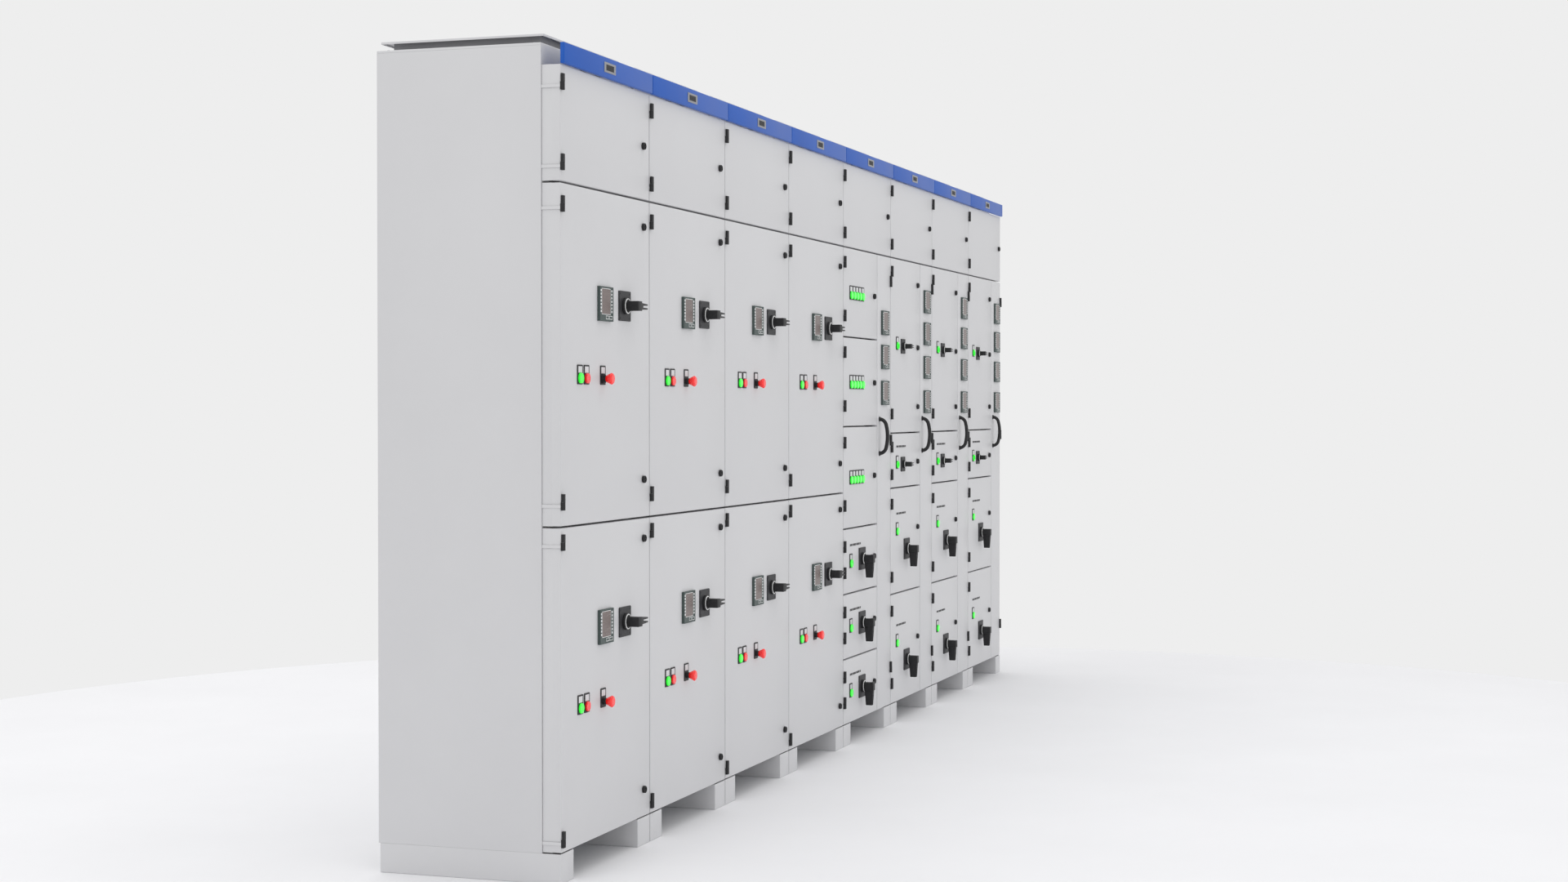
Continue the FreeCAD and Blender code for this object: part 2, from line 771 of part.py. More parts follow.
def rotary_handle(name, ratio, with_spindle):
    """A pistol handle that points along +X, with its boss and, on the working one, its spindle through
    the door. Distances out of the door are along -Y, which is the drawing plane's normal."""
    body = new_body(name)
    boss = drawing(body, "XZ_Plane", "plate_proud + running_gap")
    draw_circle(boss, f"boss_radius * {ratio}")
    pad(body, boss, "boss_top - plate_proud - running_gap")
    grip = drawing(body, "XZ_Plane", "boss_top")
    root, tip = f"grip_root / 2 * {ratio}", f"grip_tip / 2 * {ratio}"
    back, reach = f"-grip_back * {ratio}", f"grip_reach * {ratio}"
    draw_outline(grip, [(back, f"-({root})"), (reach, f"-({tip})"), (reach, tip), (back, root)])
    pad(body, grip, f"(handle_reach - boss_top) * {ratio}")
    fork = drawing(body, "XZ_Plane", f"boss_top + (handle_reach - boss_top) * {ratio}")
    inner = f"(grip_reach - grip_slot_depth) * {ratio}"
    half = f"grip_slot / 2 * {ratio}"
    beyond = f"{reach} + 1"
    draw_outline(fork, [(inner, f"-({half})"), (beyond, f"-({half})"), (beyond, half), (inner, half)])
    pocket(body, fork, f"(handle_reach - boss_top) * {ratio}")
    if with_spindle:
        spindle = drawing(body, "XZ_Plane", "plate_proud + running_gap")
        draw_circle(spindle, "spindle_radius")
        pad(body, spindle, "plate_proud + running_gap + spindle_end", inwards=True)
    return body


def push_cap(name):
    """A push-button's cap: a flat round head with a broken edge, running through its ring and the door."""
    edge = "cap_radius - 0.8"
    profile = [
        ("0", "-button_proud"),
        (edge, "-button_proud"),
        ("cap_radius", "-button_proud + 0.8"),
        ("cap_radius", "4"),
        ("0", "4"),
    ]
    return turned(new_body(name), profile)


def mushroom(name):
    """The emergency stop's flared head on its neck."""
    rim = "-mushroom_proud + 5"
    return turned(
        new_body(name),
        [
            ("0", "-mushroom_proud"),
            ("mushroom_radius - 2.5", "-mushroom_proud"),
            ("mushroom_radius", rim),
            ("mushroom_neck", "-13"),
            ("mushroom_neck", "4"),
            ("0", "4"),
        ],
    )


def quarter_turn(name):
    """A quarter-turn lock: an eight-sided knob, its shaft through the door, and a cam that hangs down
    when open."""
    body = new_body(name)
    knob = drawing(body, "XZ_Plane", "running_gap")
    flat = "knob_radius * 0.414"
    octagon = [
        ("knob_radius", f"-{flat}"),
        ("knob_radius", flat),
        (flat, "knob_radius"),
        (f"-{flat}", "knob_radius"),
        ("-knob_radius", flat),
        ("-knob_radius", f"-{flat}"),
        (f"-{flat}", "-knob_radius"),
        (flat, "-knob_radius"),
    ]
    draw_outline(knob, octagon)
    pad(body, knob, "knob_proud - running_gap")
    shaft = drawing(body, "XZ_Plane", "running_gap")
    draw_circle(shaft, "lock_shaft")
    pad(body, shaft, "running_gap + cam_near", inwards=True)
    cam = drawing(body, "XZ_Plane", "-cam_near")
    half = "cam_width / 2"
    draw_outline(cam, [(f"-{half}", "-cam_length"), (half, "-cam_length"), (half, half), (f"-{half}", half)])
    pad(body, cam, "cam_far - cam_near", inwards=True)
    return body


# ------------------------------ fixed fittings, each centred on its own origin
def centred(width, depth, height):
    return block((f"-({width}) / 2", f"({width}) / 2"), depth, (f"-({height}) / 2", f"({height}) / 2"))


def meter():
    bezel = centred("meter_side", ("-meter_proud", 0), "meter_side")
    housing = centred("meter_body", ("sheet", "meter_body_depth"), "meter_body")
    return group(bezel, housing)


def contact_block():
    return block((-14, 14), ("contact_gap", "contact_depth"), (-20, 20))


def tile_with(front, ring_hole=None):
    """A legend tile with its round part below the middle, and the contact block behind the door. A
    ring_hole leaves the tile and the ring open for a working cap."""
    tile = block(
        ("-tile_width / 2", "tile_width / 2"),
        ("-tile_proud", 0),
        ("tile_drop - tile_height / 2", "tile_drop + tile_height / 2"),
    )
    if ring_hole:
        hole = rod("y", (0, 0), ring_hole, "-button_proud - 5", 5)
        tile = cut(tile, hole)
        front = cut(front, rod("y", (0, 0), ring_hole, "-button_proud - 5", 5))
    return group(tile, front, contact_block())


def disc(radius, proud="button_proud"):
    return rod("y", (0, 0), radius, f"-({proud})", "-tile_proud")


def emergency_front():
    flare = DOC.addObject("Part::Cone", "flare")
    flare.Placement = FreeCAD.Placement(FreeCAD.Vector(), FreeCAD.Rotation(FreeCAD.Vector(1, 0, 0), 90))
    bind(flare, "Radius1", "mushroom_neck")
    bind(flare, "Radius2", "mushroom_radius")
    bind(flare, "Height", "mushroom_proud - 10")
    put(flare, 0, -10, 0)
    return fuse(rod("y", (0, 0), "mushroom_neck", -11, "-tile_proud"), flare)


def bow_handle():
    """The cable door's D-shaped handle: a bar on two stand-offs."""
    half = "bow_height / 2"
    width = ("-bow_width / 2", "bow_width / 2")
    bar = block(width, ("-bow_proud", "bow_bar - bow_proud"), (f"-({half})", half))
    ends = ((f"-({half})", f"-({half}) + bow_bar"), (f"{half} - bow_bar", half))
    return group(bar, *[block(width, ("bow_bar - bow_proud", 0), z) for z in ends])


def fixed_lock():
    """A lock like the working one, whose knob and cam stay still."""
    knob = rod("y", (0, 0), "knob_radius", "-knob_proud", 0)
    shaft = rod("y", (0, 0), "lock_shaft", "sheet", "cam_near + 1")
    half = "cam_width / 2"
    cam = block((f"-{half}", half), ("cam_near", "cam_far"), ("-cam_length", half))
    return group(knob, fuse(shaft, cam))


# ------------------------------ doors
class Fittings:
    """Every repeated door fitting, modelled once, and where each goes."""

    def __init__(self):
        self.meter = meter()
        self.lamp = tile_with(disc("lamp_radius"))
        self.button = tile_with(disc("button_radius"))
        self.emergency = tile_with(emergency_front())
        self.open_ring = tile_with(disc("button_radius"), "cap_hole")
        self.open_collar = tile_with(disc("button_radius"), "mushroom_hole")
        self.lock = fixed_lock()
        self.bow = bow_handle()
        self.label = group(centred("label_width", ("-label_proud", 0), "label_height"))
        self.plate = group(centred("plate_side", ("-plate_proud", 0), "plate_side"))
        small_side = "plate_side * small_ratio"
        self.small_plate = group(centred(small_side, ("-plate_proud", 0), small_side))
        self.handle = rotary_handle("handle_master", 1, False)
        self.small_handle = rotary_handle("small_handle_master", "small_ratio", False)
        self.frame_halves, self.door_halves = {}, {}
        for side in (1, -1):
            for flanged in (True, False):
                self.frame_halves[side, flanged], self.door_halves[side] = hinge_halves(side, flanged)

    def rotary(self, x, z, small=False, down=False):
        """A rotary operator: its square plate and a handle that points right or down."""
        handle = copy_of(self.small_handle if small else self.handle, x, 0, z)
        if down:
            handle.Placement.Rotation = FreeCAD.Rotation(FreeCAD.Vector(0, 1, 0), 90)
        return [copy_of(self.small_plate if small else self.plate, x, 0, z), handle]

    def line_front(self, middle, working):
        """An incomer door's fittings. The working door leaves out what moves on it."""
        meter_z = f"{middle} + {METER_UP}"
        button_z = f"{middle} - {TILE_DOWN} - tile_drop"
        parts = [copy_of(self.meter, METER_X, 0, meter_z)]
        if working:
            hole = rod("y", (0, 0), "spindle_hole", "-plate_proud - 1", 1)
            plate = cut(centred("plate_side", ("-plate_proud", 0), "plate_side"), hole)
            parts.append(copy_of(plate, ROTARY_X["line"], 0, meter_z))
            pieces = ((self.open_ring, GREEN_X), (self.open_ring, RED_X), (self.open_collar, EMERGENCY_X))
        else:
            parts += self.rotary(ROTARY_X["line"], meter_z)
            pieces = ((self.button, GREEN_X), (self.button, RED_X), (self.emergency, EMERGENCY_X))
        return parts + [copy_of(piece, x, 0, button_z) for piece, x in pieces]

    def signal_front(self, middle):
        places = [f"{LAMP_X} + tile_width / 2 + lamp_pitch * {place}" for place in range(5)]
        return [copy_of(self.lamp, x, 0, f"{middle} - tile_drop") for x in places]

    def starter_front(self, kind, middle):
        label_z = f"{kind}_head - {STARTER_LABEL_DROP}"
        label = copy_of(self.label, f"{LABEL_LEFT} + label_width / 2", 0, label_z)
        lamp = copy_of(self.lamp, f"{LAMP_X} + tile_width / 2", 0, f"{middle} - tile_drop")
        return [label, lamp, *self.rotary(ROTARY_X["starter"], middle, down=True)]

    def feeder_front(self, kind):
        small = kind in ("feeder_a", "feeder_b")
        x = ROTARY_X["small" if small else "feeder"]
        lamp = copy_of(self.lamp, f"{LAMP_X} + tile_width / 2", 0, f"{FEEDER_LAMP_Z[kind]} - tile_drop")
        parts = [lamp, *self.rotary(x, ROTARY_Z[kind], small=small, down=not small)]
        if kind in FEEDER_LABEL_Z:
            parts.append(copy_of(self.label, f"{LABEL_LEFT} + label_width / 2", 0, FEEDER_LABEL_Z[kind]))
        return parts

    def cable_front(self, bay):
        heights = CABLE_METER_Z.get(bay, CABLE_METER_Z["feeder"])
        meters = [copy_of(self.meter, CABLE_METER_X, 0, z) for z in heights]
        return [copy_of(self.bow, BOW_X, 0, BOW_Z), *meters]

    def front(self, bay, kind):
        """Everything on one door apart from its locks and hinges."""
        middle = f"({kind}_floor + {kind}_head) / 2"
        if kind in LINE_KINDS:
            return self.line_front(middle, (bay, kind) == MOVING_DOOR)
        if kind in SIGNAL_KINDS:
            return self.signal_front(middle)
        if kind in STARTER_KINDS:
            return self.starter_front(kind, middle)
        if kind in FEEDER_KINDS:
            return self.feeder_front(kind)
        return self.cable_front(bay) if kind == "cable" else []


def door_skin(bay, kind):
    """A folded sheet door: a deep return on its hinged side and shallow returns on the other three."""
    left, right = door_sides(bay, kind)
    low, high = f"{kind}_floor + door_gap / 2", f"{kind}_head - door_gap / 2"
    outer = block((left, right), (0, "door_depth"), (low, high))
    inside = (f"{left} + sheet", f"{right} - sheet")
    hollow = block(inside, ("sheet", "door_depth + 1"), (f"{low} + sheet", f"{high} - sheet"))
    beyond = (f"{left} - 1", inside[1]) if kind == "cable" else (inside[0], f"{right} + 1")
    relief = block(beyond, ("door_flange", "door_depth + 1"), (f"{low} - 1", f"{high} + 1"))
    tools = [hollow, relief]
    if (bay, kind) == MOVING_DOOR:
        tools += working_holes(kind)
    return cut(outer, *tools)


def working_places(kind):
    """Where the working controls' axes stand on their door: name, X in the bay and Z."""
    middle = f"({kind}_floor + {kind}_head) / 2"
    button_z = f"{middle} - {TILE_DOWN} - tile_drop"
    return {
        "handle": (ROTARY_X["line"], f"{middle} + {METER_UP}"),
        "start": (GREEN_X, button_z),
        "stop": (RED_X, button_z),
        "emergency": (EMERGENCY_X, button_z),
        "lock": (LOCK_X["line"], DOORS[kind][3][1]),
    }


def working_holes(kind):
    radii = {
        "handle": "spindle_hole",
        "start": "cap_hole",
        "stop": "cap_hole",
        "emergency": "mushroom_hole",
        "lock": "lock_hole",
    }
    return [rod("y", place, radii[name], -1, "sheet + 1") for name, place in working_places(kind).items()]


def doors(fittings):
    """One node for each door, with everything that is fixed to it."""
    for bay in range(BAYS):
        for kind in kinds_in(bay):
            parts = [door_skin(bay, kind), *fittings.front(bay, kind)]
            lock_x = LOCK_X["compartment" if bay in CABLE_BAYS and kind != "top" else "line"]
            lock_heights = DOORS[kind][3]
            if (bay, kind) == MOVING_DOOR:
                lock_heights = lock_heights[:1]
            parts += [copy_of(fittings.lock, lock_x, 0, z) for z in lock_heights]
            half = fittings.door_halves[-1 if kind == "cable" else 1]
            parts += [copy_of(half, hinge_edge(bay, kind), 0, z) for z in DOORS[kind][2]]
            node(f"bay{bay + 1}_{kind}_door", parts, seam(bay))


def working_controls():
    """The controls that move on their own joints, on one incomer door."""
    bay, kind = MOVING_DOOR
    makers = {
        "handle": ("rotary_handle", lambda name: rotary_handle(name, 1, True)),
        "start": ("start_button", push_cap),
        "stop": ("stop_button", push_cap),
        "emergency": ("emergency_stop", mushroom),
        "lock": ("door_lock", quarter_turn),
    }
    for part, (x, z) in working_places(kind).items():
        label, maker = makers[part]
        node(label, [copy_of(maker(f"{label}_body"), x, 0, z)], seam(bay))


# ------------------------------ the whole line
def check_document():
    """Stops if any object failed or any sub-part's shape is empty or broken."""
    for item in DOC.Objects:
        if {"Invalid", "Error"} & set(item.State):
            raise RuntimeError(f"{item.Name} ({item.Label}) failed: {item.State}")
    for item in NODES:
        if item.Shape.isNull() or not item.Shape.isValid() or not item.Shape.Solids:
            raise RuntimeError(f"{item.Label} has no valid shape")


def write_parts():
    os.makedirs("parts", exist_ok=True)
    box = FreeCAD.BoundBox()
    for item in NODES:
        item.Shape.exportStep(f"parts/{item.Label}.step")
        box.add(item.Shape.BoundBox)
    print(f"{len(NODES)} nodes, box {box}")


def main():
    fill_sheet()
    plinth_feet()
    bay_frames()
    end_panels()
    rear_panels()
    roof()
    fascia()
    compartment_sheets()
    mounting_plates()
    busbars()
    busbar_supports()
    air_breakers()
    feeder_breakers()
    screws()
    fittings = Fittings()
    frame_hinges(fittings.frame_halves)
    doors(fittings)
    working_controls()
    DOC.recompute()
    check_document()
    write_parts()


main()
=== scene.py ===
"""Looks for a free-standing line-up of eight low-voltage switchboard bays.

Every size below is in millimetres. Positions along the line are measured from the line's left end, depth
from the plane of the door faces, and height from the floor, and one function turns them into the frame's
metres.
"""

import json
import logging
import math
from dataclasses import dataclass
from enum import Enum
from typing import Callable, Iterable, Optional, Sequence

import bpy
from mathutils import Matrix, Vector

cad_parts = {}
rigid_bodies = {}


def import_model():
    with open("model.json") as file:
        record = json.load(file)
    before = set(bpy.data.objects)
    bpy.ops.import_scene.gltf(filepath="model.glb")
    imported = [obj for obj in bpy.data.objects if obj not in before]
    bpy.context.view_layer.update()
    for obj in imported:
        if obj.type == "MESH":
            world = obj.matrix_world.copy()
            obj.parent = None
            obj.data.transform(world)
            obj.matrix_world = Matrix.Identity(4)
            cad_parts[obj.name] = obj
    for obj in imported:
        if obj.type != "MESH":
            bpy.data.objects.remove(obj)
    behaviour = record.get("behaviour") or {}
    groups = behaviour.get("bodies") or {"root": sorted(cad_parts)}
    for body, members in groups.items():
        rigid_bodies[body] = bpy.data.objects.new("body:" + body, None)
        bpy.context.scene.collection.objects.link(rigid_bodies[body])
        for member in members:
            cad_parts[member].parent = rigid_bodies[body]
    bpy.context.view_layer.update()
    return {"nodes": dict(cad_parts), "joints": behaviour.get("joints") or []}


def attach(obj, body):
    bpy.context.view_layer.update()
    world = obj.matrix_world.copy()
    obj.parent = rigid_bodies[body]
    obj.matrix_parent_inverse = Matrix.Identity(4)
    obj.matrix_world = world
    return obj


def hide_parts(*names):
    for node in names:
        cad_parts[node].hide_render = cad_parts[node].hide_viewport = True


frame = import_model()

LOG = logging.getLogger("switchboard")
MM = 0.001
LINE_LEFT = -2400.0
DOOR_FACE = -233.0
PITCH = 600.0
BAYS = 8
GAP = 5.0
Vec = tuple[float, float, float]


# ------------------------------------------------------------------ selection and modelling by operators
def deselect() -> None:
    """Leaves edit mode and selects nothing."""
    if bpy.context.object and bpy.context.object.mode != "OBJECT":
        bpy.ops.object.mode_set(mode="OBJECT")
    bpy.ops.object.select_all(action="DESELECT")


def only(obj: bpy.types.Object) -> None:
    """Selects one object alone and makes it active.

    Args:
        obj: The object.
    """
    deselect()
    obj.select_set(True)
    bpy.context.view_layer.objects.active = obj


def settle(obj: bpy.types.Object, name: str) -> bpy.types.Object:
    """Names a new primitive and moves its place, turn and size into its mesh.

    Args:
        obj: The new primitive.
        name: Its name.

    Returns:
        The same object, at the origin.
    """
    obj.name = name
    only(obj)
    bpy.ops.object.transform_apply(location=True, rotation=True, scale=True)
    return obj


def block(name: str, x: Sequence[float], y: Sequence[float], z: Sequence[float]) -> bpy.types.Object:
    """An upright box to be shaped further.

    Args:
        name: Its name.
        x: Left and right limit.
        y: Outer and inner limit.
        z: Lower and upper limit.

    Returns:
        The box.
    """
    deselect()
    middle = [(low + high) / 2 * MM for low, high in (x, y, z)]
    size = [abs(high - low) * MM for low, high in (x, y, z)]
    bpy.ops.mesh.primitive_cube_add(size=1.0, location=middle, scale=size)
    return settle(bpy.context.object, name)


TURNS = {"x": (0.0, math.pi / 2, 0.0), "y": (math.pi / 2, 0.0, 0.0), "z": (0.0, 0.0, 0.0)}


def rod(
    name: str,
    radii: Sequence[float],
    low: float,
    high: float,
    at: Sequence[float] = (0.0, 0.0),
    sides: int = 24,
    along: str = "y",
) -> bpy.types.Object:
    """A round or many-sided bar, straight or tapered.

    Args:
        name: Its name.
        radii: Radius at the low and at the high end.
        low: Where it starts along its axis.
        high: Where it ends.
        at: Its place on the other two axes, in their order.
        sides: How many flats it has.
        along: Its axis.

    Returns:
        The bar.
    """
    deselect()
    place = list(at)
    place.insert("xyz".index(along), (low + high) / 2)
    first, last = (radii[1], radii[0]) if along == "y" else (radii[0], radii[1])
    bpy.ops.mesh.primitive_cone_add(
        vertices=sides,
        radius1=first * MM,
        radius2=last * MM,
        depth=(high - low) * MM,
        location=[p * MM for p in place],
        rotation=TURNS[along],
    )
    return settle(bpy.context.object, name)


def pick(obj: bpy.types.Object, test: Callable[[Vector, Vector], bool]) -> None:
    """Goes into edit mode with only the chosen faces selected.

    Args:
        obj: The mesh.
        test: Says yes to a face by its centre, in millimetres, and its normal.
    """
    only(obj)
    bpy.ops.object.mode_set(mode="EDIT")
    bpy.ops.mesh.select_mode(type="FACE")
    bpy.ops.mesh.select_all(action="DESELECT")
    bpy.ops.object.mode_set(mode="OBJECT")
    for face in obj.data.polygons:
        face.select = test(face.center / MM, face.normal)
    bpy.ops.object.mode_set(mode="EDIT")


def pick_edges(obj: bpy.types.Object, test: Callable[[Vector, Vector], bool]) -> None:
    """Goes into edit mode with only the chosen edges selected.

    Args:
        obj: The mesh.
        test: Says yes to an edge by its two ends, in millimetres.
    """
    only(obj)
    bpy.ops.object.mode_set(mode="EDIT")
    bpy.ops.mesh.select_mode(type="EDGE")
    bpy.ops.mesh.select_all(action="DESELECT")
    bpy.ops.object.mode_set(mode="OBJECT")
    points = obj.data.vertices
    for edge in obj.data.edges:
        first, last = (points[index].co / MM for index in edge.vertices)
        edge.select = test(first, last)
    bpy.ops.object.mode_set(mode="EDIT")


def leave() -> None:
    """Goes back to object mode."""
    bpy.ops.object.mode_set(mode="OBJECT")


def inset(
    obj: bpy.types.Object, test: Callable[[Vector, Vector], bool], rim: float, step: float = 0.0
) -> None:
    """Draws a rim inside the chosen faces and moves what is inside it in or out.

    Args:
        obj: The mesh.
        test: Chooses the faces.
        rim: The rim's width.
        step: How far the middle then goes out, or in when negative.
    """
    pick(obj, test)
    bpy.ops.mesh.inset(thickness=rim * MM, depth=0.0, use_boundary=True)
    if step:
        bpy.ops.mesh.extrude_region_shrink_fatten(TRANSFORM_OT_shrink_fatten={"value": step * MM})
    leave()


def pull(obj: bpy.types.Object, test: Callable[[Vector, Vector], bool], move: Vec) -> None:
    """Extrudes the chosen faces by a distance.

    Args:
        obj: The mesh.
        test: Chooses the faces.
        move: How far and which way.
    """
    pick(obj, test)
    bpy.ops.mesh.extrude_region_move(TRANSFORM_OT_translate={"value": [m * MM for m in move]})
    leave()


def modify(obj: bpy.types.Object, kind: str, **settings: object) -> None:
    """Adds a modifier and applies it.

    Args:
        obj: The mesh.
        kind: The modifier's type.
        **settings: Its settings.
    """
    only(obj)
    modifier = obj.modifiers.new(kind.title(), kind)
    for key, value in settings.items():
        setattr(modifier, key, value)
    bpy.ops.object.modifier_apply(modifier=modifier.name)


def ease(obj: bpy.types.Object, width: float, segments: int = 2, angle: float = 40.0) -> bpy.types.Object:
    """Rounds every edge sharper than an angle.

    Args:
        obj: The mesh.
        width: The rounding's width.
        segments: How many faces it has across.
        angle: The least angle that is rounded, in degrees.

    Returns:
        The same object.
    """
    modify(
        obj,
        "BEVEL",
        width=width * MM,
        segments=segments,
        limit_method="ANGLE",
        angle_limit=math.radians(angle),
    )
    return obj


def carve(obj: bpy.types.Object, *tools: bpy.types.Object) -> bpy.types.Object:
    """Cuts the tools' shapes out of a mesh and removes the tools.

    Args:
        obj: The mesh.
        *tools: The shapes to cut out.

    Returns:
        The same object.
    """
    for tool in tools:
        modify(obj, "BOOLEAN", operation="DIFFERENCE", object=tool, solver="EXACT")
        bpy.data.objects.remove(tool, do_unlink=True)
    return obj


def fold(
    name: str,
    limits: Sequence[Sequence[float]],
    wall: float,
    bend: float,
    away: Callable[[Vector, Vector], bool],
) -> bpy.types.Object:
    """A box folded from one sheet, with rounded bends.

    Args:
        name: Its name.
        limits: Its outer limits in X, Y and Z.
        wall: The sheet's thickness.
        bend: The bends' outer radius.
        away: Chooses the sides that it doesn't have.

    Returns:
        The folded box.
    """
    tray = block(name, *limits)
    pick(tray, away)
    bpy.ops.mesh.delete(type="FACE")
    leave()
    ease(tray, bend, 3, angle=60)
    modify(tray, "SOLIDIFY", thickness=wall * MM, offset=-1.0, use_even_offset=True)
    return tray


def outwards(obj: bpy.types.Object) -> None:
    """Merges doubled points and turns every face outwards.

    Args:
        obj: The mesh.
    """
    only(obj)
    bpy.ops.object.mode_set(mode="EDIT")
    bpy.ops.mesh.select_all(action="SELECT")
    bpy.ops.mesh.remove_doubles(threshold=1e-5)
    bpy.ops.mesh.normals_make_consistent(inside=False)
    leave()


def dress(obj: bpy.types.Object, material: bpy.types.Material) -> bpy.types.Object:
    """Gives a mesh one material all over.

    Args:
        obj: The mesh.
        material: Its material.

    Returns:
        The same object.
    """
    obj.data.materials.clear()
    obj.data.materials.append(material)
    return obj


def dress_faces(
    obj: bpy.types.Object, material: bpy.types.Material, test: Callable[[Vector, Vector], bool]
) -> bpy.types.Object:
    """Gives the chosen faces another material.

    Args:
        obj: The mesh.
        material: The faces' material.
        test: Chooses the faces by centre, in millimetres, and normal.

    Returns:
        The same object.
    """
    obj.data.materials.append(material)
    place = len(obj.data.materials) - 1
    for face in obj.data.polygons:
        if test(face.center / MM, face.normal):
            face.material_index = place
    return obj


def join(name: str, parts: Sequence[bpy.types.Object], smooth: float = 35.0) -> bpy.types.Object:
    """Makes one piece of several, shaded smooth over its gentle edges.

    Args:
        name: The piece's name.
        parts: Its parts.
        smooth: The greatest angle that is shaded smooth, in degrees.

    Returns:
        The piece.
    """
    only(parts[0])
    for part in parts:
        part.select_set(True)
    if len(parts) > 1:
        bpy.ops.object.join()
    piece = bpy.context.view_layer.objects.active
    piece.name = name
    piece.data.name = name
    bpy.ops.object.shade_smooth_by_angle(angle=math.radians(smooth))
    return piece


def row(x: float, y: float, z: float) -> Vector:
    """A point of the line in the frame's metres.

    Args:
        x: From the line's left end.
        y: From the door faces.
        z: From the floor.

    Returns:
        The point.
    """
    return Vector(((x + LINE_LEFT) * MM, (y + DOOR_FACE) * MM, z * MM))


def copy_at(
    master: bpy.types.Object, name: str, place: Vector, turn: Optional[Matrix] = None
) -> bpy.types.Object:
    """One more of a piece, with its own mesh and its place in that mesh.

    Args:
        master: The piece that was modelled.
        name: The new piece's name.
        place: Where its origin goes, in metres.
        turn: How it is turned first.

    Returns:
        The new piece.
    """
    mesh = master.data.copy()
    mesh.transform(Matrix.Translation(place) @ (turn or Matrix.Identity(4)))
    mesh.name = name
    piece = bpy.data.objects.new(name, mesh)
    bpy.context.scene.collection.objects.link(piece)
    return piece


def discard(masters: Iterable[bpy.types.Object]) -> None:
    """Removes the pieces that were only modelled to be copied.

    Args:
        masters: The pieces.
    """
    for master in masters:
        bpy.data.objects.remove(master, do_unlink=True)


# ------------------------------------------------------------------ finishes
def linear(code: str) -> tuple[float, float, float, float]:
    """An sRGB hex colour as linear values.

    Args:
        code: Six hex digits.

    Returns:
        Red, green, blue and an alpha of 1.
    """
    values = [int(code[place : place + 2], 16) / 255 for place in (0, 2, 4)]
    turned = [v / 12.92 if v <= 0.04045 else ((v + 0.055) / 1.055) ** 2.4 for v in values]
    return turned[0], turned[1], turned[2], 1.0


def add_node(
    tree: bpy.types.NodeTree, kind: str, settings: Optional[dict] = None, links: Optional[dict] = None
) -> bpy.types.Node:
    """Adds a node with its settings and links.

    Args:
        tree: The material's tree.
        kind: The node's type.
        settings: Properties by name, and input values by socket name or number.
        links: Output sockets by the input that each goes to.

    Returns:
        The node.
    """
    node = tree.nodes.new(kind)
    for key, value in (settings or {}).items():
        if isinstance(key, str) and hasattr(node, key):
            setattr(node, key, value)
        else:
            node.inputs[key].default_value = value
    for key, socket in (links or {}).items():
        tree.links.new(socket, node.inputs[key])
    return node


